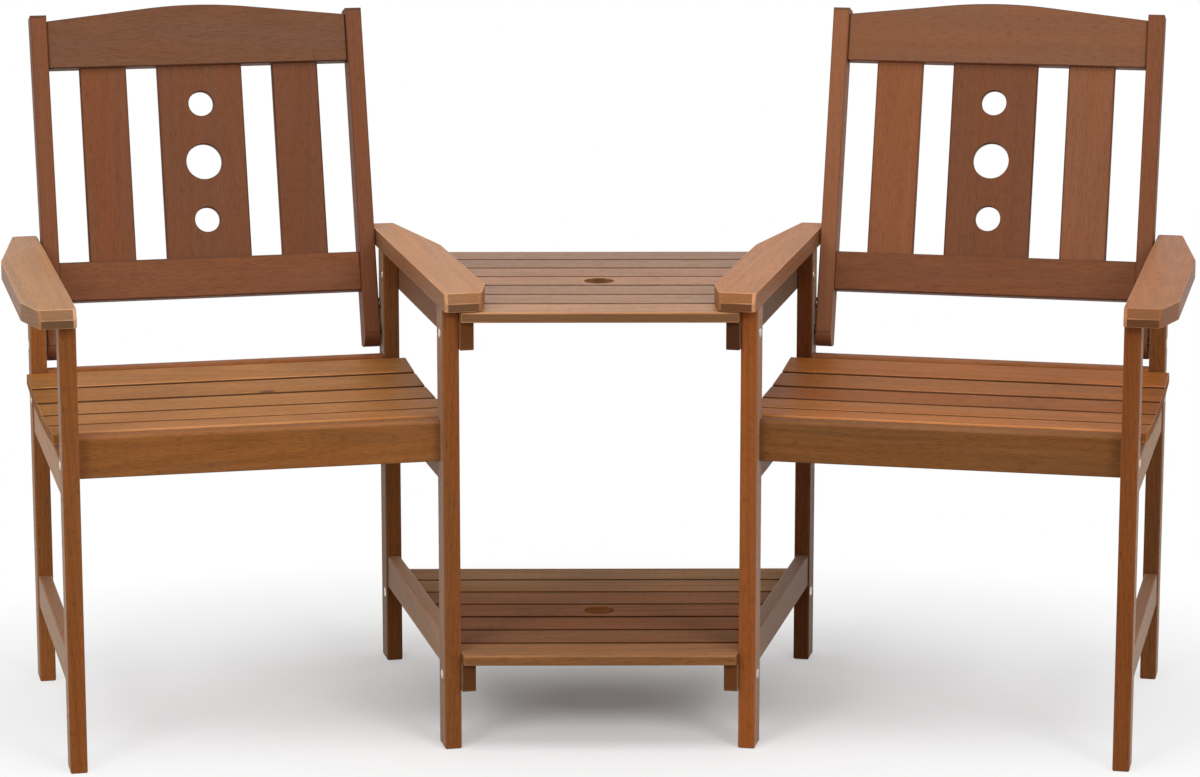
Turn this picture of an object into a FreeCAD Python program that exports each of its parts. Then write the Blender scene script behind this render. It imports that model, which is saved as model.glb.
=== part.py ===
import FreeCAD, Part
import math
import os

# Companion seat bench: two slatted hardwood armchairs, turned a little towards each other and
# joined by a wedge-shaped table with a shelf below it. Nothing on it moves: it is bolted together.
#
# Units are millimetres. X runs to the right, Y to the back and Z up, and the origin lies on the
# floor in the middle of the bench's plan.
# Each chair is drawn square to its own axes: u runs from its outer side to its table side, v from
# front to back and z up. The left chair is turned into place, and the right one is its mirror.

Vector = FreeCAD.Vector

os.makedirs("parts", exist_ok=True)

# Plan
CHAIR_WIDTH = 514.0
CHAIR_DEPTH = 486.0
CHAIR_TURN = 12.5
TABLE_GAP = 363.8

# Legs
LEG_THICK = 22.0
LEG_DEPTH = 40.0
ARM_UNDERSIDE = 589.0

# Height of the seat at its edges, which the rails below it and the back above it follow
SEAT_HEIGHT = 441.0

# Timber edges and joints
ARRIS = 1.5
TENON_THICK = 8.0
TENON_LENGTH = 20.0
TENON_SHOULDER = 6.0
JOINT_FIT = 0.2

# Side rails, stretchers and the curved bearers under the seat
RAIL_THICK = 18.0
RAIL_HEIGHT = 45.0
RAIL_INSET = 2.0
SIDE_RAIL_BELOW_SEAT = 40.0
STRETCHER_BOTTOM = 108.0
SEAT_BEARER_THICK = 18.0
SEAT_BEARER_DROP = 66.0

# Apron in front of the seat and rail behind it
APRON_THICK = 20.0
APRON_HEIGHT = 55.0
APRON_BELOW_SEAT = 1.0
APRON_TOP_ROUNDING = 5.0
STUB_LENGTH = 10.0
STUB_HEIGHT = 18.0

# Seat slats, laid in a hollow
SEAT_DISH = 10.5
SEAT_SLATS = 5
SEAT_SLAT_THICK = 15.0
SEAT_SLAT_GAP = 8.5
SEAT_SLAT_ROUNDING = 3.0
SEAT_OVERHANG = 7.0
SEAT_FRONT_CLEARANCE = 8.0
SEAT_REAR_CLEARANCE = 4.0

# Armrests
ARM_THICK = 24.0
ARM_WIDTH = 65.5
ARM_FRONT_WIDTH = 47.5
ARM_REAR_WIDTH = 34.0
ARM_FRONT_OVERHANG = 20.0
ARM_REAR_OVERHANG = 71.0
ARM_FRONT_TAPER = 65.0
ARM_REAR_TAPER = 201.0
ARM_CORNER_RADIUS = 5.0
ARM_TOP_CHAMFER = 2.5
ARM_FRONT_BEVEL = 8.0
ARM_TENON_HEIGHT = 12.0
ARM_TENON_DEPTH = 24.0
ARM_TENON_THICK = 10.0

# Leaning back
BACK_LEAN = 17.2
BACK_SETBACK = 36.0
BACK_ABOVE_SEAT = 10.0
STILE_THICK = 22.5
STILE_DEPTH = 37.0
STILE_LENGTH = 488.0
STILE_GAP = 2.5
STILE_FOOT_RADIUS = 20.0
STILE_TOP_RADIUS = 5.0
BACK_RAIL_THICK = 24.0
BACK_TENON_LENGTH = 14.0
LOWER_RAIL_START = 86.0
LOWER_RAIL_HEIGHT = 55.0
CREST_BELOW_STILE_TOP = 75.0
CREST_END_HEIGHT = 67.0
CREST_SLOPE = 6.1
CREST_ARC_HALF = 70.0
CREST_TOP_CHAMFER = 2.5
BACK_SLAT_THICK = 12.0
BACK_SLAT_WIDTH = 65.0
SPLAT_WIDTH = 119.0
HOUSING_DEPTH = 8.0
SPLAT_LARGE_HOLE = 50.0
SPLAT_SMALL_HOLE = 35.0
SPLAT_HOLE_SPACING = 82.0

# Table and shelf, on bearers bolted to the table-side legs
TABLE_SLATS = 7
TABLE_SLAT_THICK = 14.0
TABLE_SLAT_GAP = 5.0
TABLE_NOSE = 16.2
TABLE_REAR_SETBACK = 17.5
TABLE_TOP = 588.0
SHELF_TOP = 131.0
PARASOL_HOLE = 40.0
TABLE_BEARER_THICK = 18.0
TABLE_BEARER_HEIGHT = 38.0
TABLE_BEARER_NOSE = 8.0
TABLE_BEARER_REAR_SETBACK = 10.0
TABLE_BEARER_RADIUS = 3.0

# Bolts, barrel nuts, threaded inserts and spacers
FASTENER_SIDES = 8
BOLT_RADIUS = 3.0
BOLT_CLEARANCE = 0.25
BOLT_HEAD_RADIUS = 6.5
BOLT_HEAD_HEIGHT = 3.2
BOLT_HEAD_CHAMFER = 1.4
THREAD_FIT = 0.1
SPACER_RADIUS = 8.0
BARREL_RADIUS = 5.0
BARREL_LENGTH = 14.0
BARREL_SETBACK = 35.0
INSERT_RADIUS = 5.0
INSERT_LENGTH = 13.0
BOLT_END = 3.0
FRAME_BOLT_ABOVE_BOTTOM = 18.0
TABLE_BOLT_SETBACK = 20.0
TABLE_BOLT_REAR_SETBACK = 28.0
BACK_BOLT_LOW_RISE = 25.0
BACK_BOLT_HIGH_RISE = 61.0
BACK_BOLT_LOW_SETBACK = 16.0
BACK_BOLT_HIGH_SETBACK = 8.0

# Places that several pieces share
ALONG_U = Vector(1, 0, 0)
ALONG_V = Vector(0, 1, 0)
ALONG_Z = Vector(0, 0, 1)
TURN = math.radians(CHAIR_TURN)
LEAN = math.radians(BACK_LEAN)
REAR_LEG_FRONT = CHAIR_DEPTH - LEG_DEPTH
SIDE_RAIL_BOTTOM = SEAT_HEIGHT - SIDE_RAIL_BELOW_SEAT - RAIL_HEIGHT
SEAT_BEARER_BOTTOM = SEAT_HEIGHT - SEAT_BEARER_DROP
APRON_FRONT = LEG_DEPTH - APRON_THICK
APRON_TOP = SEAT_HEIGHT - APRON_BELOW_SEAT
APRON_BOTTOM = APRON_TOP - APRON_HEIGHT
BACK_FRONT = CHAIR_DEPTH - BACK_SETBACK
BACK_BOTTOM = SEAT_HEIGHT + BACK_ABOVE_SEAT
STILE_OUTSIDE = LEG_THICK + STILE_GAP
STILE_INSIDE = STILE_OUTSIDE + STILE_THICK
LOWER_RAIL_TOP = LOWER_RAIL_START + LOWER_RAIL_HEIGHT
CREST_START = STILE_LENGTH - CREST_BELOW_STILE_TOP
BACK_RAIL_FRONT = (STILE_DEPTH - BACK_RAIL_THICK) / 2
BACK_SLAT_FRONT = (STILE_DEPTH - BACK_SLAT_THICK) / 2
BEARER_FRONT = -TABLE_BEARER_NOSE
BEARER_REAR = CHAIR_DEPTH - TABLE_BEARER_REAR_SETBACK
TABLE_CORNER_Y = CHAIR_WIDTH * math.sin(TURN)
TABLE_FRONT_Y = TABLE_CORNER_Y - TABLE_NOSE
TABLE_REAR_Y = TABLE_CORNER_Y + (BEARER_REAR - TABLE_REAR_SETBACK) * math.cos(TURN)
SHARED_EDGE = 0.01


# Timber

def block(spans):
    """A plain block that fills three spans, one along each axis."""
    low = Vector(*[min(span) for span in spans])
    sides = [abs(span[1] - span[0]) for span in spans]
    return Part.makeBox(sides[0], sides[1], sides[2], low)


def edges_along(shape, direction):
    """The straight edges of a shape that run in one direction."""
    found = []
    for edge in shape.Edges:
        run = edge.Vertexes[-1].Point - edge.Vertexes[0].Point
        if run.Length > SHARED_EDGE and run.cross(direction).Length < SHARED_EDGE * run.Length:
            found.append(edge)
    return found


def edges_at_level(shape, level, direction=ALONG_Z):
    """The edges of a shape that lie in one plane square to a direction."""
    found = []
    for edge in shape.Edges:
        if all(abs(end.Point.dot(direction) - level) < SHARED_EDGE for end in edge.Vertexes):
            found.append(edge)
    return found


def long_edges_at(shape, level):
    """The edges of a shape that run along u at one height."""
    return [edge for edge in edges_along(shape, ALONG_U) if abs(edge.Vertexes[0].Z - level) < SHARED_EDGE]


def board(spans, grain, foot=None):
    """A timber that fills three spans, with its long edges eased, and its foot if it has one."""
    plain = block(spans)
    thinnest = min(abs(span[1] - span[0]) for span in spans)
    eased = edges_along(plain, grain)
    if foot is not None:
        eased += edges_at_level(plain, foot)
    return plain.makeChamfer(min(ARRIS, 0.4 * thinnest), eased)


def grown(spans, by=JOINT_FIT):
    """The spans of a mortise, a named fit wider all round than its tenon."""
    return [(min(span) - by, max(span) + by) for span in spans]


def profile_prism(points, sweep):
    """A solid swept from a flat outline whose corners are joined by straight lines."""
    outline = Part.makePolygon(points + [points[0]])
    return Part.Face(outline).extrude(sweep)


def drilled(shape, holes):
    """A timber with its round holes; each hole is a start, a direction, a length and a radius."""
    for start, direction, length, radius in holes:
        shape = shape.cut(Part.makeCylinder(radius, length, start, direction))
    return shape


# Fasteners, which are drawn with few sides because there are many of them

def rod(start, direction, radius, length):
    """A straight rod, or the cutter of its hole."""
    points = []
    for side in range(FASTENER_SIDES):
        angle = 2 * math.pi * side / FASTENER_SIDES
        points.append(Vector(radius * math.cos(angle), radius * math.sin(angle), 0))
    shape = profile_prism(points, Vector(0, 0, length))
    shape.Placement = FreeCAD.Placement(start, FreeCAD.Rotation(ALONG_Z, direction))
    return shape


def bolt(seat, direction, length):
    """A low-headed bolt whose head sits on a face and whose shank runs into the wood."""
    head = rod(Vector(0, 0, 0), ALONG_Z * -1, BOLT_HEAD_RADIUS, BOLT_HEAD_HEIGHT)
    head = head.makeChamfer(BOLT_HEAD_CHAMFER, edges_at_level(head, -BOLT_HEAD_HEIGHT))
    shape = head.fuse(rod(Vector(0, 0, 0), ALONG_Z, BOLT_RADIUS, length))
    shape.Placement = FreeCAD.Placement(seat, FreeCAD.Rotation(ALONG_Z, direction))
    return shape


def ring(seat, direction, outer, inner, thick):
    """A spacer or threaded insert around a bolt."""
    return rod(seat, direction, outer, thick).cut(rod(seat, direction, inner, thick))


def insert(seat, direction):
    """A threaded insert, sunk flush in the face of a timber."""
    return ring(seat, direction, INSERT_RADIUS, BOLT_RADIUS + THREAD_FIT, INSERT_LENGTH)


def barrel_nut(centre):
    """A cross barrel whose side hole takes a bolt that runs along u in the end of a rail."""
    body = rod(centre - ALONG_V * (BARREL_LENGTH / 2), ALONG_V, BARREL_RADIUS, BARREL_LENGTH)
    hole = rod(centre - ALONG_U * (BARREL_RADIUS * 2), ALONG_U, BOLT_RADIUS + THREAD_FIT, BARREL_RADIUS * 4)
    return body.cut(hole)


def bolt_hole(seat, length, direction=ALONG_U):
    """The cutter of a bolt's clearance hole."""
    return rod(seat, direction, BOLT_RADIUS + BOLT_CLEARANCE, length)


# Seats of the fasteners, on the outer side of a chair

def frame_bolt_seats():
    """Outer ends of the bolts that hold the apron and the rear rail to a pair of legs."""
    level = APRON_BOTTOM + FRAME_BOLT_ABOVE_BOTTOM
    return [
        Vector(0, LEG_DEPTH - APRON_THICK / 2, level),
        Vector(0, REAR_LEG_FRONT + APRON_THICK / 2, level),
    ]


def stub_tenon(end):
    """Spans of the stub tenon above such a bolt, which keeps the apron or rear rail from turning."""
    rail_front = (APRON_FRONT, REAR_LEG_FRONT)[end]
    middle = rail_front + APRON_THICK / 2
    top = APRON_TOP - TENON_SHOULDER
    return [
        (LEG_THICK - STUB_LENGTH, LEG_THICK),
        (middle - TENON_THICK / 2, middle + TENON_THICK / 2),
        (top - STUB_HEIGHT, top),
    ]


def back_bolt_seats():
    """Outer ends of the two bolts that hold a stile of the back to a rear leg."""
    return [
        Vector(0, CHAIR_DEPTH - BACK_BOLT_LOW_SETBACK, BACK_BOTTOM + BACK_BOLT_LOW_RISE),
        Vector(0, CHAIR_DEPTH - BACK_BOLT_HIGH_SETBACK, BACK_BOTTOM + BACK_BOLT_HIGH_RISE),
    ]


def table_bolt_seats(top):
    """Heads of the two bolts that hold a table bearer, on the chair's side of the legs."""
    level = top - TABLE_SLAT_THICK - TABLE_BEARER_HEIGHT / 2
    return [
        Vector(LEG_THICK, TABLE_BOLT_SETBACK, level),
        Vector(LEG_THICK, CHAIR_DEPTH - TABLE_BOLT_REAR_SETBACK, level),
    ]


# Side frames

def rail_spans(bottom):
    """Spans of a side rail or stretcher between its shoulders."""
    return [
        (RAIL_INSET, RAIL_INSET + RAIL_THICK),
        (LEG_DEPTH, REAR_LEG_FRONT),
        (bottom, bottom + RAIL_HEIGHT),
    ]


def rail_tenons(bottom):
    """Spans of the front and rear tenon of a side rail or stretcher."""
    middle = RAIL_INSET + RAIL_THICK / 2
    u = (middle - TENON_THICK / 2, middle + TENON_THICK / 2)
    z = (bottom + TENON_SHOULDER, bottom + RAIL_HEIGHT - TENON_SHOULDER)
    front = [u, (LEG_DEPTH - TENON_LENGTH, LEG_DEPTH), z]
    rear = [u, (REAR_LEG_FRONT, REAR_LEG_FRONT + TENON_LENGTH), z]
    return front, rear


def arm_tenon(leg_front):
    """Spans of the tenon on top of a leg."""
    middle = leg_front + LEG_DEPTH / 2
    return [
        ((LEG_THICK - ARM_TENON_THICK) / 2, (LEG_THICK + ARM_TENON_THICK) / 2),
        (middle - ARM_TENON_DEPTH / 2, middle + ARM_TENON_DEPTH / 2),
        (ARM_UNDERSIDE, ARM_UNDERSIDE + ARM_TENON_HEIGHT),
    ]


def leg(leg_front, end, on_table_side):
    """A leg with its mortises, bolt holes and top tenon; end is 0 at the front and 1 at the rear."""
    spans = [(0, LEG_THICK), (leg_front, leg_front + LEG_DEPTH), (0, ARM_UNDERSIDE)]
    timber = board(spans, ALONG_Z, foot=0)
    timber = timber.fuse(block(arm_tenon(leg_front)))
    for bottom in (SIDE_RAIL_BOTTOM, STRETCHER_BOTTOM):
        timber = timber.cut(block(grown(rail_tenons(bottom)[end])))
    timber = timber.cut(block(grown(stub_tenon(end))))
    holes = [bolt_hole(frame_bolt_seats()[end], LEG_THICK)]
    if end == 1:
        holes += [bolt_hole(seat, LEG_THICK) for seat in back_bolt_seats()]
    if on_table_side:
        for top in (TABLE_TOP, SHELF_TOP):
            holes.append(bolt_hole(table_bolt_seats(top)[end], LEG_THICK, ALONG_U * -1))
    return timber.cut(holes)


def side_rail(bottom):
    """A side rail or stretcher, tenoned into the front and the rear leg."""
    timber = board(rail_spans(bottom), ALONG_V)
    for spans in rail_tenons(bottom):
        timber = timber.fuse(block(spans))
    return timber.removeSplitter()


def armrest():
    """A flat armrest, splayed towards the front, tapered at both ends and mortised for the legs."""
    front = -ARM_FRONT_OVERHANG
    rear = CHAIR_DEPTH + ARM_REAR_OVERHANG
    inner = LEG_THICK
    points = [
        Vector(inner, front, ARM_UNDERSIDE),
        Vector(inner, rear, ARM_UNDERSIDE),
        Vector(inner - ARM_REAR_WIDTH, rear, ARM_UNDERSIDE),
        Vector(inner - ARM_WIDTH, rear - ARM_REAR_TAPER, ARM_UNDERSIDE),
        Vector(inner - ARM_WIDTH, front + ARM_FRONT_TAPER, ARM_UNDERSIDE),
        Vector(inner - ARM_FRONT_WIDTH, front, ARM_UNDERSIDE),
    ]
    arm = profile_prism(points, Vector(0, 0, ARM_THICK))
    arm = arm.makeFillet(ARM_CORNER_RADIUS, edges_along(arm, ALONG_Z))
    arm = arm.makeChamfer(ARM_TOP_CHAMFER, edges_at_level(arm, ARM_UNDERSIDE + ARM_THICK))
    bevel = profile_prism([
        Vector(inner - ARM_WIDTH, front, ARM_UNDERSIDE),
        Vector(inner - ARM_WIDTH, front + ARM_FRONT_BEVEL, ARM_UNDERSIDE),
        Vector(inner - ARM_WIDTH, front, ARM_UNDERSIDE + ARM_FRONT_BEVEL),
    ], ALONG_U * ARM_WIDTH)
    arm = arm.cut(bevel)
    for leg_front in (0, REAR_LEG_FRONT):
        arm = arm.cut(block(grown(arm_tenon(leg_front))))
    return arm


# Seat

def seat_hollow():
    """Radius and centre of the arc that the undersides of the seat slats follow."""
    depth = REAR_LEG_FRONT - SEAT_REAR_CLEARANCE - LEG_DEPTH - SEAT_FRONT_CLEARANCE
    half = depth / 2
    radius = (half ** 2 + SEAT_DISH ** 2) / (2 * SEAT_DISH)
    middle = LEG_DEPTH + SEAT_FRONT_CLEARANCE + half
    level = SEAT_HEIGHT - SEAT_SLAT_THICK - SEAT_DISH + radius
    return radius, Vector(0, middle, level), depth


def seat_slats():
    """The seat slats, each flat on its own chord of the hollow."""
    radius, centre, depth = seat_hollow()
    width = (depth - (SEAT_SLATS - 1) * SEAT_SLAT_GAP) / SEAT_SLATS
    underside = -math.sqrt(radius ** 2 - (width / 2) ** 2)
    slats = []
    for index in range(SEAT_SLATS):
        spans = [
            (-SEAT_OVERHANG, CHAIR_WIDTH + SEAT_OVERHANG),
            (-width / 2, width / 2),
            (underside, underside + SEAT_SLAT_THICK),
        ]
        slat = block(spans)
        top = underside + SEAT_SLAT_THICK
        slat = slat.makeFillet(SEAT_SLAT_ROUNDING, long_edges_at(slat, top))
        slat = slat.makeChamfer(ARRIS, long_edges_at(slat, underside))
        steps = index - (SEAT_SLATS - 1) / 2
        angle = math.degrees(steps * (width + SEAT_SLAT_GAP) / radius)
        slat.rotate(Vector(0, 0, 0), ALONG_U, angle)
        slat.translate(centre)
        slats.append(slat)
    return slats


def seat_bearer():
    """A bearer with a hollowed top, fixed inside a side rail."""
    radius, centre, depth = seat_hollow()
    u = RAIL_INSET + RAIL_THICK
    spans = [(u, u + SEAT_BEARER_THICK), (LEG_DEPTH, REAR_LEG_FRONT), (SEAT_BEARER_BOTTOM, APRON_TOP)]
    hollow = Part.makeCylinder(radius, SEAT_BEARER_THICK, centre + ALONG_U * u, ALONG_U)
    level = centre.z - radius + SEAT_DISH
    above = block([(u, u + SEAT_BEARER_THICK), (LEG_DEPTH, REAR_LEG_FRONT), (level, level + APRON_TOP)])
    return block(spans).cut(hollow).cut(above)


def cross_rail(end):
    """The apron in front of the seat, or the rail behind it, with its stub tenons and bolt holes."""
    rail_front = (APRON_FRONT, REAR_LEG_FRONT)[end]
    spans = [
        (LEG_THICK, CHAIR_WIDTH - LEG_THICK),
        (rail_front, rail_front + APRON_THICK),
        (APRON_BOTTOM, APRON_TOP),
    ]
    rail = block(spans)
    top_front = [edge for edge in long_edges_at(rail, APRON_TOP)
                 if abs(edge.Vertexes[0].Y - rail_front) < SHARED_EDGE]
    rail = rail.makeFillet(APRON_TOP_ROUNDING, top_front)
    rail = rail.makeChamfer(ARRIS, long_edges_at(rail, APRON_BOTTOM))
    seat = frame_bolt_seats()[end]
    barrel = seat + ALONG_U * (LEG_THICK + BARREL_SETBACK)
    barrel_start = barrel - ALONG_V * (BARREL_LENGTH / 2)
    barrel_run = BARREL_LENGTH / 2 + APRON_THICK / 2
    cutters = [
        bolt_hole(seat, LEG_THICK + BARREL_SETBACK + BARREL_RADIUS + BOLT_END),
        rod(barrel_start, ALONG_V, BARREL_RADIUS + JOINT_FIT, barrel_run),
    ]
    stub = block(stub_tenon(end))
    rail = rail.fuse([stub, mirrored_side(stub)])
    return rail.cut(both_sides(cutters)).removeSplitter()


# Back, drawn upright with its foot at the origin and then leaned into place

def leaned(shape):
    """A piece of the back, moved from its own upright axes to the chair's."""
    shape.rotate(Vector(0, 0, 0), ALONG_U, -BACK_LEAN)
    shape.translate(Vector(0, BACK_FRONT, BACK_BOTTOM))
    return shape


def back_clear_width():
    return CHAIR_WIDTH - 2 * STILE_INSIDE


def back_rail_tenon(start, height):
    """Spans of the tenon of a back rail in the outer stile."""
    middle = STILE_DEPTH / 2
    return [
        (STILE_INSIDE - BACK_TENON_LENGTH, STILE_INSIDE),
        (middle - TENON_THICK / 2, middle + TENON_THICK / 2),
        (start + TENON_SHOULDER, start + height - TENON_SHOULDER),
    ]


def back_stile():
    """A stile with a level foot rounded at the front, and mortises for both rails."""
    timber = board([(STILE_OUTSIDE, STILE_INSIDE), (0, STILE_DEPTH), (0, STILE_LENGTH)], ALONG_Z)
    foot_slope = math.tan(LEAN)
    foot_rise = STILE_FOOT_RADIUS * (1 + foot_slope)
    outline = profile_prism([
        Vector(STILE_OUTSIDE, 0, 0),
        Vector(STILE_OUTSIDE, STILE_DEPTH, STILE_DEPTH * foot_slope),
        Vector(STILE_OUTSIDE, STILE_DEPTH, STILE_LENGTH),
        Vector(STILE_OUTSIDE, 0, STILE_LENGTH),
    ], ALONG_U * STILE_THICK)
    cross_edges = edges_along(outline, ALONG_U)
    foot = [edge for edge in cross_edges if edge.Vertexes[0].Z < foot_rise and edge.Vertexes[0].Y < 1]
    outline = outline.makeFillet(STILE_FOOT_RADIUS, foot)
    outline = outline.makeFillet(STILE_TOP_RADIUS, long_edges_at(outline, STILE_LENGTH))
    timber = timber.common(outline)
    for start, height in ((LOWER_RAIL_START, LOWER_RAIL_HEIGHT), (CREST_START, CREST_END_HEIGHT)):
        timber = timber.cut(block(grown(back_rail_tenon(start, height))))
    return leaned(timber).cut([
        rod(seat + ALONG_U * STILE_OUTSIDE, ALONG_U, INSERT_RADIUS + JOINT_FIT, INSERT_LENGTH)
        for seat in back_bolt_seats()
    ])


def slat_layout():
    """Name, left edge and width of the upright slats, spread at equal gaps between the stiles."""
    widths = [("outer", BACK_SLAT_WIDTH), ("splat", SPLAT_WIDTH), ("inner", BACK_SLAT_WIDTH)]
    gap = (back_clear_width() - sum(width for name, width in widths)) / (len(widths) + 1)
    left = STILE_INSIDE
    layout = []
    for name, width in widths:
        left += gap
        layout.append((name, left, width))
        left += width
    return layout


def slat_spans(left, width):
    """Spans of an upright slat, with its two ends housed in the rails."""
    return [
        (left, left + width),
        (BACK_SLAT_FRONT, BACK_SLAT_FRONT + BACK_SLAT_THICK),
        (LOWER_RAIL_TOP - HOUSING_DEPTH, CREST_START + HOUSING_DEPTH),
    ]


def with_back_joints(rail, start, height):
    """A back rail with a tenon at each end and housings for the upright slats."""
    tenon = block(back_rail_tenon(start, height))
    rail = rail.fuse(tenon).fuse(mirrored_side(tenon))
    for name, left, width in slat_layout():
        rail = rail.cut(block(grown(slat_spans(left, width))))
    return leaned(rail)


def lower_back_rail():
    """The lower rail of the back."""
    spans = [
        (STILE_INSIDE, CHAIR_WIDTH - STILE_INSIDE),
        (BACK_RAIL_FRONT, BACK_RAIL_FRONT + BACK_RAIL_THICK),
        (LOWER_RAIL_START, LOWER_RAIL_TOP),
    ]
    return with_back_joints(board(spans, ALONG_U), LOWER_RAIL_START, LOWER_RAIL_HEIGHT)


def crest_rail():
    """The top rail: a straight foot, two gentle slopes and an arc that joins them."""
    slope = math.radians(CREST_SLOPE)
    half = back_clear_width() / 2
    middle = CHAIR_WIDTH / 2
    front = BACK_RAIL_FRONT
    end_top = CREST_START + CREST_END_HEIGHT
    arc_top = end_top + (half - CREST_ARC_HALF) * math.tan(slope)
    crown = arc_top + CREST_ARC_HALF * math.tan(slope / 2)
    corners = [
        Vector(middle - half, front, CREST_START),
        Vector(middle + half, front, CREST_START),
        Vector(middle + half, front, end_top),
        Vector(middle + CREST_ARC_HALF, front, arc_top),
        Vector(middle - CREST_ARC_HALF, front, arc_top),
        Vector(middle - half, front, end_top),
    ]
    outline = Part.Wire([
        Part.makeLine(corners[0], corners[1]),
        Part.makeLine(corners[1], corners[2]),
        Part.makeLine(corners[2], corners[3]),
        Part.Arc(corners[3], Vector(middle, front, crown), corners[4]).toShape(),
        Part.makeLine(corners[4], corners[5]),
        Part.makeLine(corners[5], corners[0]),
    ])
    rail = Part.Face(outline).extrude(ALONG_V * BACK_RAIL_THICK)
    top_edges = []
    for edge in rail.Edges:
        depths = [end.Y for end in edge.Vertexes]
        lies_flat = max(depths) - min(depths) < SHARED_EDGE
        if lies_flat and min(end.Z for end in edge.Vertexes) > end_top - SHARED_EDGE:
            top_edges.append(edge)
    rail = rail.makeChamfer(CREST_TOP_CHAMFER, top_edges)
    rail = rail.makeChamfer(ARRIS, long_edges_at(rail, CREST_START))
    return with_back_joints(rail, CREST_START, CREST_END_HEIGHT)


def back_slat(left, width):
    """A plain upright slat."""
    return leaned(board(slat_spans(left, width), ALONG_Z))


def back_splat(left, width):
    """The wide middle slat, with one large and two small round holes on its centre line."""
    splat = board(slat_spans(left, width), ALONG_Z)
    middle = (LOWER_RAIL_TOP + CREST_START) / 2
    holes = []
    for step, across in ((-1, SPLAT_SMALL_HOLE), (0, SPLAT_LARGE_HOLE), (1, SPLAT_SMALL_HOLE)):
        start = Vector(left + width / 2, 0, middle + step * SPLAT_HOLE_SPACING)
        holes.append((start, ALONG_V, STILE_DEPTH, across / 2))
    return leaned(drilled(splat, holes))


# Table and shelf

def table_half_width(y):
    """Half the clear width between the chairs at a distance y from their foremost corner."""
    return TABLE_GAP / 2 + (y - TABLE_CORNER_Y) * math.tan(TURN)


def table_slats(top):
    """The slats of the tabletop or shelf, cut along the chairs' sides; the middle one is apart."""
    width = (TABLE_REAR_Y - TABLE_FRONT_Y - (TABLE_SLATS - 1) * TABLE_SLAT_GAP) / TABLE_SLATS
    level = top - TABLE_SLAT_THICK
    plain = []
    for index in range(TABLE_SLATS):
        front = TABLE_FRONT_Y + index * (width + TABLE_SLAT_GAP)
        rear = front + width
        slat = profile_prism([
            Vector(-table_half_width(front), front, level),
            Vector(table_half_width(front), front, level),
            Vector(table_half_width(rear), rear, level),
            Vector(-table_half_width(rear), rear, level),
        ], Vector(0, 0, TABLE_SLAT_THICK))
        slat = slat.makeChamfer(ARRIS, edges_along(slat, ALONG_U))
        if index == TABLE_SLATS // 2:
            centre = Vector(0, (front + rear) / 2, level)
            with_hole = drilled(slat, [(centre, ALONG_Z, TABLE_SLAT_THICK, PARASOL_HOLE / 2)])
        else:
            plain.append(slat)
    return plain, with_hole


def table_bearer(top):
    """A bearer of the tabletop or shelf, eased below its front end and drilled for its inserts."""
    above = top - TABLE_SLAT_THICK
    below = above - TABLE_BEARER_HEIGHT
    bearer = block([(-TABLE_BEARER_THICK, 0), (BEARER_FRONT, BEARER_REAR), (below, above)])
    corner = [edge for edge in long_edges_at(bearer, below)
              if abs(edge.Vertexes[0].Y - BEARER_FRONT) < SHARED_EDGE]
    bearer = bearer.makeFillet(TABLE_BEARER_RADIUS, corner)
    inwards = ALONG_U * -1
    return bearer.cut([
        rod(seat + inwards * LEG_THICK, inwards, INSERT_RADIUS + JOINT_FIT, INSERT_LENGTH)
        for seat in table_bolt_seats(top)
    ])


# Groups of fasteners

def frame_bolts():
    """The two bolts of the outer side that hold the apron and rear rail, with their barrel nuts."""
    pieces = []
    for seat in frame_bolt_seats():
        pieces.append(bolt(seat, ALONG_U, LEG_THICK + BARREL_SETBACK + BARREL_RADIUS))
        pieces.append(barrel_nut(seat + ALONG_U * (LEG_THICK + BARREL_SETBACK)))
    return pieces


def back_bolts():
    """The bolts of one stile, with the threaded inserts that they run into."""
    pieces = []
    for seat in back_bolt_seats():
        pieces.append(bolt(seat, ALONG_U, STILE_OUTSIDE + INSERT_LENGTH))
        pieces.append(insert(seat + ALONG_U * STILE_OUTSIDE, ALONG_U))
    return pieces


def back_spacers():
    """The spacers that keep a stile off its rear leg."""
    inner = BOLT_RADIUS + BOLT_CLEARANCE
    return [ring(seat + ALONG_U * LEG_THICK, ALONG_U, SPACER_RADIUS, inner, STILE_GAP)
            for seat in back_bolt_seats()]


def table_bolts():
    """The bolts of the tabletop and shelf bearers, with the inserts that they run into."""
    inwards = ALONG_U * -1
    pieces = []
    for top in (TABLE_TOP, SHELF_TOP):
        for seat in table_bolt_seats(top):
            pieces.append(bolt(seat, inwards, LEG_THICK + INSERT_LENGTH))
            pieces.append(insert(seat + inwards * LEG_THICK, inwards))
    return pieces


# Assembly

def mirrored_side(shape):
    """A piece of a chair's outer side, moved to its table side."""
    return shape.mirror(Vector(CHAIR_WIDTH / 2, 0, 0), ALONG_U)


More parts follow.
